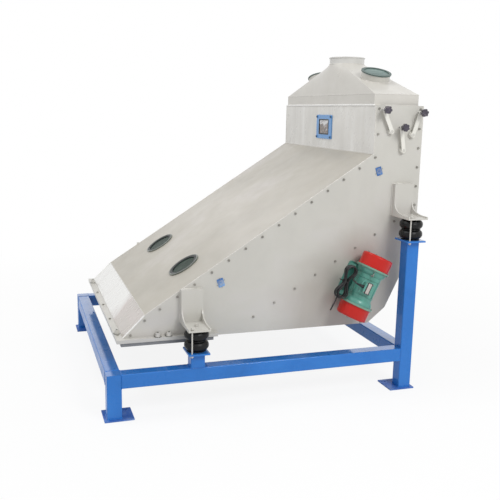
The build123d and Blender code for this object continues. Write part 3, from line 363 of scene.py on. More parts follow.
# near white, a painted highlight on the thick beads along the outlet plate and under the hood's front
highlight_weld = paint("highlight_weld", lin(244, 243, 240), lin(250, 250, 248), rough=0.18, coat=0.4, dirt=0.03,
                    peel=0.1)
reflection_chute_cream = chute("reflection_outlet_enamel")
blue = beam_paint("frame_enamel", lin(42, 117, 199), lin(50, 126, 208))
foot_blue = paint("foot_enamel", lin(66, 112, 190), lin(128, 156, 204), rough=0.45, coat=0.1, dirt=0.25,
                  spec=0.2, drift=11)
plate_blue = paint("sight_enamel", lin(88, 150, 212), lin(108, 166, 222), rough=0.3, coat=0.3, dirt=0.08)
throw_blue = paint("throw_enamel", lin(58, 108, 172), lin(124, 166, 214), rough=0.3, coat=0.3, dirt=0.2,
                   drift=9)
collar_grey = paint("collar_enamel", lin(120, 122, 124), lin(140, 140, 142), rough=0.4, dirt=0.1)
ring_grey = paint("ring_enamel", lin(96, 102, 94), lin(118, 124, 114), rough=0.3, coat=0.2, dirt=0.1)
bolt_grey = paint("bolt_paint", lin(136, 133, 126), lin(160, 157, 150), rough=0.4, coat=0.1, dirt=0.25)
red = paint("cover_red", lin(190, 26, 16), lin(206, 42, 30), rough=0.34, coat=0.3, dirt=0.2, peel=0.4,
            spec=0.2)
green = cast("motor_enamel", lin(80, 146, 132))
# paler green for the flange edges: worn paint, and a painted highlight
worn_and_highlight_green = cast("worn_and_highlit_motor_edge", lin(112, 150, 132), rough=0.45)
winding = cast("winding", lin(110, 74, 46), rough=0.6)
black = rubber("bellows_rubber", lin(11, 12, 13), rough=0.3, spec=0.25)
seal = rubber("seal_rubber", lin(30, 32, 34), rough=0.45, bumpy=0.2)
cable = rubber("cable_sheath", lin(14, 14, 16), rough=0.34, bumpy=0.1)
tie_black = rubber("tie_plastic", lin(18, 18, 20), rough=0.3, bumpy=0.1)
two_seals = ring_seal("ring_seal_rubber", lin(30, 32, 34), lin(78, 96, 92))
knob_plastic = speckled("knob_plastic", lin(44, 38, 52), lin(126, 118, 120))
steel = metal("plain_steel", lin(178, 178, 174), rough=0.38)
zinc = metal("zinc_bolts", lin(150, 150, 146), rough=0.45, grain=(1, 1, 1))
screw_dark = metal("dark_screws", lin(84, 84, 88), rough=0.4, grain=(1, 1, 1))
nameplate = metal("blank_label", lin(205, 198, 192), rough=0.3)
glass = pane("window_glass", lin(24, 40, 32), lin(60, 78, 68))
sight_glass = grain_pane("sight_pane_glass")

SLOT_FINISH = {
    "frame_blue": blue, "box_cream": cream, "black_rubber": black, "plain_steel": steel,
    "grey_steel": collar_grey, "clear_glass": glass, "sight_blue": plate_blue, "motor_green": green,
    "motor_red": red, "winding": winding, "black_plastic": knob_plastic, "cable_rubber": cable,
}
OWN_FINISH = {
    "side_plate_near": shaded_side_cream, "side_plate_far": shaded_side_cream, "top_cover": sheened_cover_cream,
    "outlet_hood": reflection_chute_cream, "window_seals": two_seals, "box_bolts": bolt_grey, "limit_rods": cream,
    "spring_studs": cream, "flap_bearings": cream, "inlet_front": lit_front_cream, "feed_hood": hood_cream,
    "foot_plates": foot_blue, "angle_plates": throw_blue, "cable_glands": tie_black,
    "inlet_spout": spout_cream, "flap_lever_1": lit_lever_cream, "flap_lever_2": lit_lever_cream,
    "flap_lever_3": lit_lever_cream,
}
for part in frame["record"]["subparts"]:
    materials = nodes[part["node"]].data.materials
    materials.clear()
    materials.append(OWN_FINISH.get(part["node"], SLOT_FINISH[part["material_slot"]]))


# Mesh helpers
def new_object(name, bm, material, body="sieve_box", smooth=40):
    """Piece from a bmesh, shaded smooth up to an angle in degrees."""
    bmesh.ops.recalc_face_normals(bm, faces=bm.faces)
    mesh = bpy.data.meshes.new(name)
    bm.to_mesh(mesh)
    bm.free()
    obj = bpy.data.objects.new(name, mesh)
    bpy.context.scene.collection.objects.link(obj)
    mesh.materials.append(material)
    mesh.shade_smooth()
    mesh.set_sharp_from_angle(angle=radians(smooth))
    if body:
        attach(obj, body)
    return obj


def lathe(bm, matrix, profile, steps):
    """Turns a closed loop of (radius, height) points about the local Z of a matrix."""
    rings = []
    for radius, height in profile:
        turns = [2 * pi * i / steps for i in range(steps if radius else 1)]
        points = [Vector((radius * cos(t), radius * sin(t), height)) for t in turns]
        rings.append([bm.verts.new(matrix @ point) for point in points])
    for a, b in zip(rings, rings[1:] + rings[:1]):
        for i in range(steps):
            j = (i + 1) % steps
            if len(a) > 1 and len(b) > 1:
                bm.faces.new((a[i], a[j], b[j], b[i]))
            elif len(b) > 1:
                bm.faces.new((a[0], b[j], b[i]))
            elif len(a) > 1:
                bm.faces.new((a[i], a[j], b[0]))


def skin_loops(bm, loops):
    """Faces between rings of vertices, from each to the next and from the last to the first."""
    for a, b in zip(loops, loops[1:] + loops[:1]):
        for i in range(len(a)):
            j = (i + 1) % len(a)
            bm.faces.new((a[i], a[j], b[j], b[i]))


def prism(bm, matrix, outline, height, bevel=0.0):
    """Solid from an outline in local XY, from local z 0 to the height."""
    low = [bm.verts.new(matrix @ Vector((x, y, 0))) for x, y in outline]
    high = [bm.verts.new(matrix @ Vector((x, y, height))) for x, y in outline]
    faces = [bm.faces.new(list(reversed(low))), bm.faces.new(high)]
    count = len(outline)
    for i in range(count):
        j = (i + 1) % count
        faces.append(bm.faces.new((low[i], low[j], high[j], high[i])))
    if bevel:
        edges = list({e for f in faces for e in f.edges})
        bmesh.ops.bevel(bm, geom=edges, offset=bevel, segments=2, affect="EDGES", profile=0.6)


def oblong(half_x, half_y):
    return [(-half_x, -half_y), (half_x, -half_y), (half_x, half_y), (-half_x, half_y)]


def rounded(width, height, radius, steps=5):
    """Outline of a rectangle with round corners."""
    x, y = width / 2 - radius, height / 2 - radius
    out = []
    for cx, cy, start in ((x, y, 0), (-x, y, 90), (-x, -y, 180), (x, -y, 270)):
        for i in range(steps + 1):
            t = radians(start + 90 * i / steps)
            out.append((cx + radius * cos(t), cy + radius * sin(t)))
    return out


def place(origin, x_axis, z_axis):
    """Matrix with its local X and Z along two directions."""
    z = Vector(z_axis).normalized()
    x = Vector(x_axis)
    x = (x - z * x.dot(z)).normalized()
    y = z.cross(x)
    rows = [(x[i], y[i], z[i], origin[i]) for i in range(3)]
    return Matrix(rows + [(0, 0, 0, 1)])


def up(height):
    """Matrix of a step along the local Z."""
    return Matrix.Translation((0, 0, height))


def bolt(bm, matrix, across, head, washer=0.0, stud=0.0):
    """Hexagon head or nut with a chamfered top, on a washer and with a stud end if their radii are given."""
    base = 0.0
    if washer:
        base = 0.002
        lathe(bm, matrix, [(0, 0), (washer, 0), (washer, base * 0.8), (washer * 0.97, base), (0, base)], 24)
    radius = across / 2 / cos(pi / 6)
    hexagon = [(radius * cos(radians(60 * i)), radius * sin(radians(60 * i))) for i in range(6)]
    prism(bm, matrix @ up(base), hexagon, head, bevel=across * 0.045)
    if stud:
        top = base + head
        end = top + stud * 1.1
        lathe(bm, matrix, [(0, top), (stud, top), (stud, top + stud * 0.9), (stud * 0.85, end), (0, end)], 20)


def pan_head(bm, matrix, radius, height):
    """Domed screw head with a sunken centre."""
    shape = ((0, 0), (1, 0), (1, 0.35), (0.9, 0.75), (0.6, 0.98), (0.32, 1), (0.3, 0.55), (0, 0.5))
    lathe(bm, matrix, [(radius * x, height * z) for x, z in shape], 20)


# Motor planes
MOTOR = Vector((0.752, -1.045, 0.804))
TILT = radians(65)
ALONG = Vector((cos(TILT), 0, sin(TILT)))
ACROSS = Vector((-sin(TILT), 0, cos(TILT)))
# millimetres from the middle: the lid of the terminal box, which stands off centre, the gland's mouth, the
# faces of the feet under their bolts, the flanges' inner faces, and the mouths and ends of the red covers
LID, LID_ACROSS = 121.4, 34
GLAND = (0, 90, 104)
FEET = -127
FLANGE, COVER_MOUTH, COVER_END = 136, 150, 246.6


def motor_point(a, b, c, side=-1):
    """Point of a motor from its local millimetres: along the shaft, across it, out from the plate."""
    point = MOTOR + (ALONG * a + ACROSS * b + Vector((0, -1, 0)) * c) / 1000
    return Vector((point.x, -side * point.y, point.z))


def motor_place(a, b, c, side, z_local, x_local=(1, 0, 0)):
    """Matrix on a motor: local directions are along the shaft, across it and outwards."""
    def turned(local):
        return ALONG * local[0] + ACROSS * local[1] + Vector((0, side, 0)) * local[2]

    return place(motor_point(a, b, c, side), turned(x_local), turned(z_local))


def barrel_place(a, angle, radius, side):
    """Matrix on the barrel at an angle from outwards towards across, z pointing away from the shaft."""
    t = radians(angle)
    return motor_place(a, radius * sin(t), radius * cos(t), side, (0, sin(t), cos(t)))


# The motor's cable
CABLE_RADIUS = 0.0055
LEAD = [(0, 92, 104), (0, 119, 104), (5, 142, 97), (13, 154, 78), (28, 150, 58)]
TAIL = [(32, 190, -8), (0, 178, -8), (-40, 175, -8), (-80, 176, -7), (-118, 178, 0), (-149, 178, 9),
        (-184, 178, 16), (-222, 187, 24), (-258, 192, 31)]
# middle of the hank, then for each turn its lean in degrees, shift across, reach, half width and height
HANK = (-21, 168)
TURNS = ((5, 0.5, 121, 36.5, 38), (-4, 1.5, 129, 38.5, 27), (4, -1.0, 119, 36, 16), (-3, 0.5, 127, 38, 4),
         (-1, 1.0, 121, 37, -8))
TURN_POINTS = 22
# the lead joins the first turn at a point of its right fold and sinks from its height by a step a point; each
# turn passes over into the next from a point of its run back
JOIN_POINT, JOIN_HEIGHT, JOIN_STEP = 15, 48, 1.6
PASS_POINT = 13


def ring_points(reach, wide):
    """Control points of one turn: the run that climbs, the left fold, the run back, the right fold."""
    fold = wide / cos(pi / 10)
    middle = reach - wide
    left = [(-middle + fold * cos(radians(t)), fold * sin(radians(t))) for t in range(72, 289, 36)]
    right = [(middle + fold * cos(radians(t)), fold * sin(radians(t))) for t in range(-108, 109, 36)]
    climb = [(50, wide * 0.68), (17, 12), (-17, 12), (-50, wide * 0.68)]
    back = [(-50, -wide * 0.68), (-17, -11), (17, -11), (50, -wide * 0.68)]
    return climb + left + back + right


def cable_route():
    """Control points in motor millimetres: the lead, the hank's turns, the tail."""
    points = list(LEAD)
    _, _, reach, wide, _ = TURNS[0]
    for i, (a, b) in enumerate(ring_points(reach, wide)[JOIN_POINT:]):
        points.append((HANK[0] + a, HANK[1] + b, JOIN_HEIGHT - i * JOIN_STEP))
    for turn, after in zip(TURNS, TURNS[1:]):
        for i in range(TURN_POINTS):
            part = max(0.0, (i - PASS_POINT) / (TURN_POINTS - PASS_POINT))
            lean, shift, reach, wide, layer = (u + (v - u) * part for u, v in zip(turn, after))
            a, b = ring_points(reach, wide)[i]
            t = radians(lean)
            along = HANK[0] + a * cos(t) - b * sin(t)
            points.append((along, HANK[1] + shift + a * sin(t) + b * cos(t), layer))
    return points + TAIL


def cable_curve():
    """The cable as a curve, with its control points."""
    data = bpy.data.curves.new("motor_cable", "CURVE")
    data.dimensions = "3D"
    data.bevel_depth = CABLE_RADIUS
    data.bevel_resolution = 4
    data.use_fill_caps = True
    points = [motor_point(*point) for point in cable_route()]
    spline = data.splines.new("NURBS")
    spline.points.add(len(points) - 1)
    for control, point in zip(spline.points, points):
        control.co = (point.x, point.y, point.z, 1)
    spline.order_u = 3
    spline.use_endpoint_u = True
    spline.resolution_u = 5
    obj = bpy.data.objects.new("motor_cable", data)
    bpy.context.scene.collection.objects.link(obj)
    data.materials.append(cable)
    return obj, points


motor_cable, route = cable_curve()
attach(motor_cable, "sieve_box")
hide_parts("cable_lead", "cable_hank", "cable_tail")

# Cable tie: a flat band round the bundle, its lock and its cut end, placed in motor millimetres
TIE_START, TIE_END, TIE_THICK = -25, -17, 1.6
TIE_MIDDLE, TIE_HALF = (169, 15), (19.5, 30)


def band(bm, steps=40):
    """Strap that lies round the bundle as a rounded ring."""
    loops = []
    for a, grow in ((TIE_START, 0), (TIE_START, TIE_THICK), (TIE_END, TIE_THICK), (TIE_END, 0)):
        ring = []
        for i in range(steps):
            t = 2 * pi * i / steps
            swell = (abs(cos(t)) ** 3 + abs(sin(t)) ** 3) ** (-1 / 3)
            b = TIE_MIDDLE[0] + (TIE_HALF[0] + grow) * cos(t) * swell
            c = TIE_MIDDLE[1] + (TIE_HALF[1] + grow) * sin(t) * swell
            ring.append(bm.verts.new(motor_point(a, b, c)))
        loops.append(ring)
    skin_loops(bm, loops)


tie_bm = bmesh.new()
band(tie_bm)
prism(tie_bm, place(motor_point(-21, 187.5, 15), ALONG, ACROSS), oblong(0.0075, 0.006), 0.007, bevel=0.001)
prism(tie_bm, place(motor_point(-21, 190, 15), ALONG, ACROSS), oblong(0.0038, 0.001), 0.034, bevel=0.0004)
cable_tie = new_object("cable_tie", tie_bm, tie_black)


def relief_profile():
    """Tapered sleeve with six rings round the cable, from the gland outwards."""
    out = [(0.0056, 0), (0.0092, 0), (0.0096, 0.002), (0.0094, 0.006)]
    for i in range(6):
        z = 0.008 + i * 0.0045
        r = 0.0092 - i * 0.00052
        out += [(r, z), (r, z + 0.0026), (r - 0.0012, z + 0.0031), (r - 0.0012, z + 0.0042)]
    return out + [(0.0062, 0.0355), (0.0056, 0.036)]


# the near gland holds the cable's sleeve, the far one a blank plug
BLANK_PLUG = [(0, 0.001), (0.0088, 0.001), (0.0088, 0.005), (0.0075, 0.0068), (0, 0.0068)]
for (side, word), profile in zip(SIDES, (relief_profile(), BLANK_PLUG)):
    relief = bmesh.new()
    lathe(relief, place(motor_point(*GLAND, side), ALONG, ACROSS), profile, 32)
    new_object(f"strain_relief_{word}", relief, tie_black)

# Bellows: two rolls between a foot and a cap, with a belt round the middle
BELLOWS_HEIGHT = 0.156
BELLOWS_FOOT = [(0, 0.0002), (0.0655, 0.0002), (0.0668, 0.0015), (0.0668, 0.0065), (0.0655, 0.008),
                (0.0635, 0.0095)]
BELLOWS_BELT = [(0.0635, 0.0736), (0.0682, 0.0746), (0.0698, 0.0764)]
BELT_MIDDLE = (0.0702, 0.078)
WAIST, BULGE = 0.0625, 0.0858
RING_DEPTH, RING_PITCH = 0.00045, 0.0058


def roll(low, high, count=34):
    """Round roll of a bellows between two heights, with fine moulded rings."""
    out = []
    for i in range(count + 1):
        t = i / count
        z = low + (high - low) * t
        swell = max(0.0, 1 - (2 * t - 1) ** 2) ** 0.55
        ring = RING_DEPTH * sin(2 * pi * z / RING_PITCH) * min(1, swell * 2)
        out.append((WAIST + (BULGE - WAIST) * swell + ring, z))
    return out


def upside_down(profile):
    return [(r, BELLOWS_HEIGHT - z) for r, z in reversed(profile)]


def bellows(name):
    """Rubber in place of a plain bellows node, attached to neither body."""
    (x0, y0, z), (x1, y1, _) = node_box(name)
    x, y = (x0 + x1) / 2, (y0 + y1) / 2
    profile = (BELLOWS_FOOT + roll(0.0105, 0.0725) + BELLOWS_BELT + [BELT_MIDDLE] + upside_down(BELLOWS_BELT)
               + roll(0.0835, 0.1455) + upside_down(BELLOWS_FOOT))
    bm = bmesh.new()
    lathe(bm, place((x, y, z), (1, 0, 0), (0, 0, 1)), profile, 96)
    obj = new_object(name + "_rubber", bm, black, None, smooth=35)
    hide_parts(name)
    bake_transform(obj)


for end in ("low", "high"):
    for word in ("near", "far"):
        bellows(f"bellows_{end}_{word}")


# Motors
def flange_screws(side, word):
    bm = bmesh.new()
    for end in (-1, 1):
        for i in range(8):
            t = radians(22.5 + 45 * i)
            m = motor_place(end * FLANGE, 118 * sin(t), 118 * cos(t), side, (-end, 0, 0), (0, 1, 0))
            bolt(bm, m, 0.0085, 0.005)
    new_object(f"flange_screws_{word}", bm, zinc)


def foot_bolts(side, word):
    bm = bmesh.new()
    for a in (-95, 95):
        for b in (-105, 105):
            bolt(bm, motor_place(a, b, FEET, side, (0, 0, 1)), 0.030, 0.0125, washer=0.0185, stud=0.009)
    new_object(f"motor_foot_bolts_{word}", bm, zinc)


def blank_label(side, word):
    """Blank plate with two rivets in a dark gasket on the lid of the terminal box."""
    lid = motor_place(0, LID_ACROSS, LID, side, (0, 0, 1))
    bm = bmesh.new()
    prism(bm, lid, rounded(0.088, 0.042, 0.006), 0.0018, bevel=0.0005)
    new_object(f"plate_gasket_{word}", bm, seal)
    bm = bmesh.new()
    prism(bm, lid @ up(0.0014), rounded(0.078, 0.027, 0.003), 0.0018, bevel=0.0004)
    new_object(f"blank_plate_{word}", bm, nameplate)
    bm = bmesh.new()
    for x in (-0.034, 0.034):
        pan_head(bm, lid @ Matrix.Translation((x, 0, 0.0030)), 0.0026, 0.0014)
    new_object(f"blank_plate_rivets_{word}", bm, zinc)


def flange_edges(side, word):
    """Paler rings on the edges of the flanges: worn paint, and a painted highlight."""
    profile = [(0.1236, 0.0006), (0.1248, 0.0012), (0.1252, 0.0026), (0.1252, 0.0114), (0.1248, 0.0128),
               (0.1236, 0.0134)]
    bm = bmesh.new()
    for end in (-1, 1):
        lathe(bm, motor_place(end * FLANGE, 0, 0, side, (end, 0, 0), (0, 1, 0)), profile, 96)
    new_object(f"flange_edges_{word}", bm, worn_and_highlight_green)


def motor_ribs(side, word):
    """Round ribs, long ribs, the seat of the terminal box and the gussets of the feet."""
    bm = bmesh.new()
    round_rib = [(0.0905, 0), (0.0945, 0.0008), (0.096, 0.0022), (0.096, 0.0048), (0.0945, 0.0062),
                 (0.0905, 0.007)]
    for a in (-64, 64):
        lathe(bm, motor_place(a - 3.5, 0, 0, side, (1, 0, 0), (0, 1, 0)), round_rib, 96)
    for angle in (-88, -30, 74, 92, 118, -118):
        prism(bm, barrel_place(0, angle, 91, side), rounded(0.120, 0.005, 0.0024, 4), 0.0042, bevel=0.0011)
    prism(bm, barrel_place(0, 21.5, 88, side), rounded(0.104, 0.088, 0.014, 8), 0.0105, bevel=0.003)
    gusset = [(0, 0), (0.052, 0), (0.052, 0.012), (0.012, 0.062), (0, 0.062)]
    for end in (-1, 1):
        for half in (-1, 1):
            m = motor_place(end * 112, half * 99.84, FEET - 1, side, (-end, 0, 0), (0, -half, 0))
            outline = gusset if side * half < 0 else gusset[:1] + [(x, -y) for x, y in gusset[:0:-1]]
            prism(bm, m @ up(-0.004), outline, 0.01, bevel=0.0012)
    new_object(f"motor_ribs_{word}", bm, green)


def lid_screws(side, word):
    """Screws of the terminal box's lid and of the red covers."""
    bm = bmesh.new()
    for x in (-36, 36):
        for y in (LID_ACROSS - 28, LID_ACROSS + 28):
            pan_head(bm, motor_place(x, y, LID + 0.2, side, (0, 0, 1)), 0.0042, 0.0034)
    for end in (-1, 1):
        for i in range(4):
            t = radians(45 + 90 * i)
            m = motor_place(end * (COVER_END + 0.2), 82 * sin(t), 82 * cos(t), side, (end, 0, 0), (0, 1, 0))
            bolt(bm, m, 0.013, 0.0055, washer=0.0105)
    new_object(f"lid_screws_{word}", bm, zinc)


def cover_rims(side, word):
    """Rolled rim at the mouth of each red cover and a raised ring on its end."""
    rim = [(0.1146, 0.0002), (0.1192, 0.0002), (0.1204, 0.0014), (0.1204, 0.004), (0.1192, 0.0054),
           (0.1172, 0.0058), (0.1146, 0.0062)]
    ring = [(0.060, 0), (0.0615, 0.0016), (0.064, 0.0022), (0.067, 0.0016), (0.0685, 0)]
    bm = bmesh.new()
    for end in (-1, 1):
        for distance, profile in ((COVER_MOUTH, rim), (COVER_END, ring)):
            lathe(bm, motor_place(end * distance, 0, 0, side, (end, 0, 0), (0, 1, 0)), profile, 96)
    new_object(f"cover_rims_{word}", bm, red)


def lifting_eye(side, word):
    """Lifting eye between the terminal box and the upper flange."""
    bm = bmesh.new()
    foot = barrel_place(104, 20, 93, side)
    lathe(bm, foot, [(0, 0), (0.015, 0), (0.0145, 0.004), (0.011, 0.006), (0, 0.006)], 32)
    turns = [2 * pi * i / 12 for i in range(12)]
    ring = foot @ up(0.019) @ Matrix.Rotation(pi / 2, 4, "X")
    lathe(bm, ring, [(0.0135 + 0.0042 * cos(t), 0.0042 * sin(t)) for t in turns], 40)
    new_object(f"lifting_eye_{word}", bm, zinc)


for side, word in SIDES:
    for detail in (flange_screws, foot_bolts, blank_label, flange_edges, motor_ribs, lid_screws, cover_rims,
                   lifting_eye):
        detail(side, word)


# Welds
def bead(bm, points, radius, closed=False, step=0.0042, seed=0.0, sides=8):
    """Weld bead along a line of points: a half-sunk tube whose width ripples."""
    corners = [Vector(point) for point in points]
    if closed:
        corners.append(corners[0].copy())
    path = []
    for a, b in zip(corners, corners[1:]):
        count = max(1, int((b - a).length / step))
        for i in range(count):
            path.append((a.lerp(b, i / count), (b - a).normalized()))
    path.append((corners[-1], (corners[-1] - corners[-2]).normalized()))
    rings = []
    for i, (point, ahead) in enumerate(path):
        upward = Vector((0, 0, 1)) if abs(ahead.z) < 0.9 else Vector((1, 0, 0))
        x = ahead.cross(upward).normalized()
        y = x.cross(ahead).normalized()
        ripple = 0.13 * sin(i * 2.1 + seed) + 0.08 * sin(i * 0.37 + seed * 3) + 0.05 * sin(i * 5.3)
        r = radius * (1 + ripple)
        turns = [2 * pi * k / sides for k in range(sides)]
        rings.append([bm.verts.new(point + x * r * cos(t) + y * r * sin(t)) for t in turns])
    for a, b in zip(rings, rings[1:]):
        for k in range(sides):
            j = (k + 1) % sides
            bm.faces.new((a[k], a[j], b[j], b[k]))
    bm.faces.new(list(reversed(rings[0])))
    bm.faces.new(rings[-1])


def ring_line(centre, x_dir, y_dir, radius, count=96):
    """Points of a circle in the plane of two directions."""
    out = []
    for i in range(count):
        t = 2 * pi * i / count
        out.append(Vector(centre) + Vector(x_dir) * radius * cos(t) + Vector(y_dir) * radius * sin(t))
    return out


def hood_line(z):
    """Corners of the hood's foot at a height."""
    y = HOOD_HALF_LENGTH
    return [(HOOD_FRONT, -y, z), (HOOD_BACK, -y, z), (HOOD_BACK, y, z), (HOOD_FRONT, y, z)]


# heights and half widths of the hood: an upright skirt, then slopes to the round spout
SKIRT_TOP = BOX_TOP + 0.080
HOOD_HALF_WIDTH = (HOOD_BACK - HOOD_FRONT) / 2
SPOUT_RADIUS = 0.145
# the side plate's back edge as x and z, then in y the beads along the plates and the ends of those across
BACK_EDGE = ((PLATE_BACK, 1.08), (1.01, 0.591), (0.868, 0.475))
EDGE_LINE, ACROSS_LINE = PLATE_FACE - 0.0025, PLATE_FACE - 0.003

box_beads = bmesh.new()
for y in (-EDGE_LINE, EDGE_LINE):
    back_line = [(PLATE_BACK, y, BOX_TOP)] + [(x, y, z) for x, z in BACK_EDGE]
    bead(box_beads, [(KNEE[0], y, KNEE[1]), (SHOULDER[0], y, SHOULDER[1])], 0.003, seed=y)
    bead(box_beads, [(SHOULDER[0], y, SHOULDER[1]), (SHOULDER[0], y, BOX_TOP)], 0.003, seed=y)
    bead(box_beads, back_line, 0.003, seed=y)
for (x, z), radius in ((KNEE, 0.0028), (SHOULDER, 0.0036), ((OUTLET[0] - 0.0005, OUTLET[1]), 0.0032)):
    bead(box_beads, [(x, -ACROSS_LINE, z), (x, ACROSS_LINE, z)], radius)
bead(box_beads, hood_line(BOX_TOP), 0.0034, closed=True)
bead(box_beads, hood_line(SKIRT_TOP), 0.0022, closed=True)
bead(box_beads, ring_line((HOOD_MIDDLE, 0, HOOD_TOP), (1, 0, 0), (0, 1, 0), SPOUT_RADIUS + 0.0002), 0.0036,
     closed=True)
new_object("box_welds", box_beads, weld_cream, smooth=60)

# the thick near-white beads on the outlet plate's sides and under the hood's front: welds painted as a bright
# highlight
highlight_beads = bmesh.new()
for y in (-EDGE_LINE, EDGE_LINE):
    bead(highlight_beads, [(OUTLET[0], y, OUTLET[1]), (KNEE[0], y, KNEE[1])], 0.0052, seed=y)
hood_end = HOOD_HALF_LENGTH + 0.002
hood_x = HOOD_FRONT - 0.0005
bead(highlight_beads, [(hood_x, -hood_end, BOX_TOP), (hood_x, hood_end, BOX_TOP)], 0.0075, step=0.014)
new_object("highlight_welds", highlight_beads, highlight_weld, smooth=60)

# Bracket welds: the cheeks on the side plates, and the caps on the cheeks
SEAT = 0.012
CHEEK_HEIGHT, CHEEK_HALF = 0.242, 0.0782
CAP_HEIGHT, CAP_HALF, CAP_START, CAP_END = 0.0125, 0.0678, 0.942, 1.14
bracket_beads = bmesh.new()
for x, post_top in ((LOW_SPRING_X, LOW_POST_TOP), (HIGH_SPRING_X, HIGH_POST_TOP)):
    z = post_top + SEAT + BELLOWS_HEIGHT + 0.0003
    for side in (-1, 1):
        y = side * (PLATE_FACE + 0.0003)
        for dx in (-CHEEK_HALF, CHEEK_HALF):
            bead(bracket_beads, [(x + dx, y, z + 0.002), (x + dx, y, z + CHEEK_HEIGHT)], 0.0038, seed=dx * 40)
        top = z + CHEEK_HEIGHT
        bead(bracket_beads, [(x - CHEEK_HALF, y, top), (x + CHEEK_HALF, y, top)], 0.0034, seed=x)
        for dx in (-CAP_HALF, CAP_HALF):
            ends = [(x + dx, side * y, z + CAP_HEIGHT) for y in (CAP_START, CAP_END)]
            bead(bracket_beads, ends, 0.003, seed=dx)
new_object("bracket_welds", bracket_beads, weld_cream, smooth=60)

# Frame welds: a bead round the end of each tube
TUBE_CORNER = 0.008
BEAM_Z = LOW_POST_FOOT - TUBE / 2
frame_beads = bmesh.new()


def tube_bead(centre, x_dir, y_dir, radius=0.003):
    """Bead round a tube whose outline lies in the plane of two directions."""
    outline = rounded(TUBE, TUBE, TUBE_CORNER, 3)
    line = [Vector(centre) + Vector(x_dir) * x + Vector(y_dir) * y for x, y in outline]
    bead(frame_beads, line, radius, closed=True, seed=centre[0] + centre[1])


for sx in (-1, 1):
    for sy in (-1, 1):
        tube_bead((sx * (HIGH_SPRING_X - TUBE / 2), sy * SPRING_Y, BEAM_Z), (0, 1, 0), (0, 0, 1))
        tube_bead((sx * HIGH_SPRING_X, sy * (SPRING_Y - TUBE / 2), BEAM_Z), (1, 0, 0), (0, 0, 1))
        tube_bead((sx * HIGH_SPRING_X, sy * SPRING_Y, HIGH_POST_FOOT + 0.0002), (1, 0, 0), (0, 1, 0))
for sy in (-1, 1):
    tube_bead((LOW_SPRING_X, sy * SPRING_Y, LOW_POST_FOOT + 0.0002), (1, 0, 0), (0, 1, 0))
    for x, top in ((LOW_SPRING_X, LOW_POST_TOP), (HIGH_SPRING_X, HIGH_POST_TOP)):
        tube_bead((x, sy * SPRING_Y, top - 0.0004), (1, 0, 0), (0, 1, 0), radius=0.0026)
new_object("frame_welds", frame_beads, blue, "base_frame", smooth=60)

# Port welds: where each collar meets the hood, found by sliding points along the collar to the hood's slopes
PORT_TILT, PORT_Y, COLLAR_RADIUS = radians(19.5), 0.513, 0.1135


def on_hood(point):
    """Whether a point is inside the slopes of the hood."""
    share = (point.z - SKIRT_TOP) / (HOOD_TOP - SKIRT_TOP)
    half_x = HOOD_HALF_WIDTH + (SPOUT_RADIUS - HOOD_HALF_WIDTH) * share
    half_y = HOOD_HALF_LENGTH + (SPOUT_RADIUS - HOOD_HALF_LENGTH) * share
    return abs(point.x - HOOD_MIDDLE) <= half_x and abs(point.y) <= half_y


port_beads = bmesh.new()
fall = (HOOD_TOP - SKIRT_TOP) / (HOOD_HALF_LENGTH - SPOUT_RADIUS)
for side in (-1, 1):
    normal = Vector((0, side * sin(PORT_TILT), cos(PORT_TILT)))
    centre = Vector((HOOD_MIDDLE, side * PORT_Y, SKIRT_TOP + (HOOD_HALF_LENGTH - PORT_Y) * fall))
    line = []
    for point in ring_line(centre, (1, 0, 0), normal.cross(Vector((1, 0, 0))), COLLAR_RADIUS):
        slid = [point + normal * k * 0.001 for k in range(-60, 60)]
        line.append([point, *filter(on_hood, slid)][-1])
    bead(port_beads, line, 0.003, closed=True, seed=side)
new_object("port_welds", port_beads, weld_cream, smooth=60)

# Windows: the painted rim and the lip of the seal of each round window in the cover
SLOPE = Vector((SHOULDER[0] - KNEE[0], 0, SHOULDER[1] - KNEE[1])).normalized()
NORMAL = Vector((-SLOPE.z, 0, SLOPE.x))
WINDOW_UP, WINDOW_Y = 0.45, 0.463
RIM = [(0.1165, 0.0), (0.1285, 0.0), (0.129, 0.0012), (0.1285, 0.0084), (0.1262, 0.0096), (0.1190, 0.0098),
       (0.1168, 0.0088)]
LIP = [(0.0985, 0.0040), (0.1015, 0.0066), (0.1095, 0.0078), (0.1175, 0.0076), (0.1235, 0.0062),
       (0.1252, 0.0040), (0.1252, 0.0035), (0.0985, 0.0035)]
rims, lips = bmesh.new(), bmesh.new()
for side in (-1, 1):
    m = place(Vector((KNEE[0], side * WINDOW_Y, KNEE[1])) + SLOPE * WINDOW_UP, SLOPE, NORMAL)
    lathe(rims, m, RIM, 96)
    lathe(lips, m, LIP, 96)
new_object("window_rims", rims, ring_grey)
new_object("window_seal_lips", lips, seal)

# Clamp nuts: a washer under each and a stud end above it
NUT_RADIUS, SIDE_NUTS_X, FRONT_NUTS_Y = 0.020, (-0.770, -0.692), 0.781
CLAMP_WASHER = [(0.012, 0.0002), (0.0255, 0.0002), (0.026, 0.001), (0.0255, 0.0028), (0.0195, 0.0034),
                (0.012, 0.0034)]
CLAMP_STUD = [(0, 0.026), (0.0065, 0.026), (0.0065, 0.0325), (0.0055, 0.0338), (0, 0.0338)]
clamps = bmesh.new()
for side in (-1, 1):
    nuts = [(x, side * (CLAMP_SIDE - NUT_RADIUS)) for x in SIDE_NUTS_X]
    for x, y in nuts + [(CLAMP_FRONT + NUT_RADIUS, side * FRONT_NUTS_Y)]:
        m = place((x, y, CLAMP_FOOT), (1, 0, 0), (0, 0, 1))
        lathe(clamps, m, CLAMP_WASHER, 40)
        lathe(clamps, m, CLAMP_STUD, 24)
new_object("clamp_washers", clamps, zinc)


# Sight glass: four screws, a gasket in the frame's opening and the pane behind it
def sight_place(x, y=0, z=SIGHT_MIDDLE):
    """Matrix that faces the feed side, its x across the machine."""
    return place((x, y, z), (0, -1, 0), (-1, 0, 0))


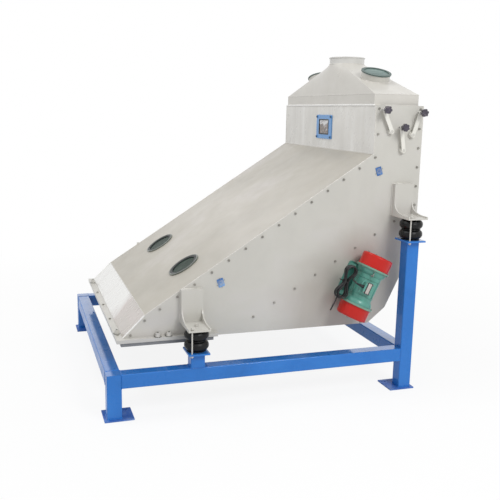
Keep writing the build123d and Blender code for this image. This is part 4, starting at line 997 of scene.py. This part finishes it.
SCREW_Y, SCREW_Z = 0.1375, 0.084
screws = bmesh.new()
for y in (-SCREW_Y, SCREW_Y):
    for z in (SIGHT_MIDDLE - SCREW_Z, SIGHT_MIDDLE + SCREW_Z):
        pan_head(screws, sight_place(SIGHT_FACE + 0.0003, y, z), 0.0085, 0.004)
new_object("sight_screws", screws, screw_dark)
gasket = bmesh.new()
inner, outer = rounded(0.180, 0.110, 0.004, 3), rounded(0.198, 0.128, 0.009, 3)
m = sight_place(SIGHT_FACE + 0.005)
loops = []
for outline, height in ((inner, -0.0028), (inner, 0.0012), (outer, 0.0012), (outer, -0.0002)):
    loops.append([gasket.verts.new(m @ Vector((x, y, height))) for x, y in outline])
skin_loops(gasket, loops)
new_object("sight_gasket", gasket, seal)
pane_bm = bmesh.new()
prism(pane_bm, sight_place(SIGHT_FACE + 0.0082), rounded(0.1796, 0.1096, 0.003, 3), 0.0008)
new_object("sight_pane", pane_bm, sight_glass)

# Throw plates: three ring marks and four rivets on each
THROW_PLACES, THROW_TURN, THROW_FACE = ((-0.312, 0.860), (0.899, 1.643)), radians(-18), -0.904
gauge_rings, gauge_rivets = bmesh.new(), bmesh.new()
for x, z in THROW_PLACES:
    m = place((x, THROW_FACE, z), (cos(THROW_TURN), 0, sin(THROW_TURN)), (0, -1, 0))
    for r in (0.019, 0.0135, 0.008):
        raised = [(r - 0.0009, 0), (r - 0.0007, 0.0007), (r + 0.0007, 0.0007), (r + 0.0009, 0)]
        lathe(gauge_rings, m, raised, 48)
    for dx in (-0.019, 0.019):
        for dy in (-0.0265, 0.0265):
            pan_head(gauge_rivets, m @ Matrix.Translation((dx, dy, 0)), 0.003, 0.0018)
new_object("throw_rings", gauge_rings, nameplate)
new_object("throw_rivets", gauge_rivets, zinc)

# Small rounded edges of the CAD nodes, by their width
SOFT_EDGES = {
    0.0005: ("cable_glands",),
    0.0006: ("limit_rods", "angle_plates", "sight_frame"),
    0.0008: ("box_bolts", "spring_studs", "outlet_collar"),
    0.0009: ("side_plate_near", "side_plate_far"),
    0.001: ("outlet_flange", "terminal_boxes", "flap_bearings"),
    0.0014: ("star_knob_1", "star_knob_2", "star_knob_3"),
    0.0015: ("foot_plates", "spring_seats"),
    0.0018: ("spring_brackets",),
    0.0042: ("clamp_nuts",),
}
for width, names in SOFT_EDGES.items():
    for name in names:
        edges = nodes[name].modifiers.new("soft_edges", "BEVEL")
        edges.width = width
        edges.segments = 3 if width > 0.003 else 2
        edges.limit_method = "ANGLE"
        edges.angle_limit = radians(35)
        edges.harden_normals = True

# Camera, as fitted to the photo: the turns in radians, the eye in metres, the focal length in pixels
YAW, PITCH, ROLL = 0.323059, 0.191818, 0.021221
EYE = Vector((-1.6785, -5.621, 2.0544))
FOCAL_PIXELS, PHOTO_PIXELS, SENSOR = 710.17, 500, 36
ahead = Vector((sin(YAW) * cos(PITCH), cos(YAW) * cos(PITCH), -sin(PITCH)))
level_x = Vector((cos(YAW), -sin(YAW), 0))
level_y = level_x.cross(ahead)
camera_data = bpy.data.cameras.new("camera")
camera_data.sensor_width = SENSOR
camera_data.lens = FOCAL_PIXELS / PHOTO_PIXELS * SENSOR
camera_data.clip_end = 100
camera = bpy.data.objects.new("camera", camera_data)
bpy.context.scene.collection.objects.link(camera)
camera.matrix_world = place(EYE, level_x * cos(ROLL) + level_y * sin(ROLL), -ahead)
bpy.context.scene.camera = camera
bpy.context.scene.view_settings.view_transform = "Standard"


# Floor and world
def seen_directly(tree):
    """1 for what the camera sees straight, in gloss or through glass, and 0 for light on the object."""
    path = tree.nodes.new("ShaderNodeLightPath")
    seen = path.outputs["Is Camera Ray"]
    for ray in ("Is Glossy Ray", "Is Transmission Ray"):
        either = tree.nodes.new("ShaderNodeMath")
        either.operation = "MAXIMUM"
        tree.links.new(seen, either.inputs[0])
        tree.links.new(path.outputs[ray], either.inputs[1])
        seen = either.outputs[0]
    return seen


FLOOR_HALF, FLOOR_Z = 14, -0.001
floor_bm = bmesh.new()
floor_bm.faces.new([floor_bm.verts.new((x, y, FLOOR_Z)) for x, y in oblong(FLOOR_HALF, FLOOR_HALF)])
floor_mesh = bpy.data.meshes.new("floor")
floor_bm.to_mesh(floor_mesh)
floor_bm.free()
floor = bpy.data.objects.new("floor", floor_mesh)
bpy.context.scene.collection.objects.link(floor)

# seen directly, most of the floor's white is its own, so that only a pale shadow is left on it; the share
# grows from the object outwards, in metres from its middle
NEAR_SHARE, FAR_SHARE, SHARE_FADE = 0.88, 1.0, (1.6, 5.0)
paper = Finish("floor_paper")
tone = paper.ramp(paper.noise(1.5, 3), (0.3, lin(246, 246, 246)), (0.7, lin(250, 250, 250)))
paper.feed(paper.surface, {"Base Color": tone, "Roughness": 0.9, "Specular IOR Level": 0.1})
glow = paper.node("ShaderNodeEmission")
paper.feed(glow, {"Color": (1, 1, 1, 1), "Strength": 1.0})
distance = paper.vector("DISTANCE", paper.place, (0, 0, 0))["Value"]
growth = paper.span(distance, NEAR_SHARE, FAR_SHARE, *SHARE_FADE)
share = paper.math("MULTIPLY", seen_directly(paper.tree), growth)
both = paper.node("ShaderNodeMixShader")
paper.feed(both, {0: share, 1: paper.surface.outputs[0], 2: glow.outputs[0]})
paper.feed(paper.tree.nodes["Material Output"], {"Surface": both.outputs[0]})
floor_mesh.materials.append(paper.material)

# the world is white to look at and dimmer as a light
WORLD_LIGHT, WORLD_SEEN = 0.55, 1.0
world = bpy.data.worlds.new("studio")
bpy.context.scene.world = world
world.use_nodes = True
tree = world.node_tree
background = tree.nodes["Background"]
background.inputs["Color"].default_value = (1, 1, 1, 1)
strength = tree.nodes.new("ShaderNodeMapRange")
strength.inputs["To Min"].default_value = WORLD_LIGHT
strength.inputs["To Max"].default_value = WORLD_SEEN
tree.links.new(seen_directly(tree), strength.inputs["Value"])
tree.links.new(strength.outputs["Result"], background.inputs["Strength"])


# Lamps
def lamp(name, where, target, size, power):
    data = bpy.data.lights.new(name, "AREA")
    data.shape = "DISK"
    data.size = size
    data.energy = power
    obj = bpy.data.objects.new(name, data)
    obj.location = where
    obj.rotation_euler = (Vector(target) - Vector(where)).to_track_quat("-Z", "Y").to_euler()
    bpy.context.scene.collection.objects.link(obj)


lamp("key", (2.2, -6.5, 5.6), (0, -0.2, 1.0), 3.0, 235)
lamp("top", (-2.6, 0.2, 7.0), (-0.4, 0, 1.0), 4.0, 130)
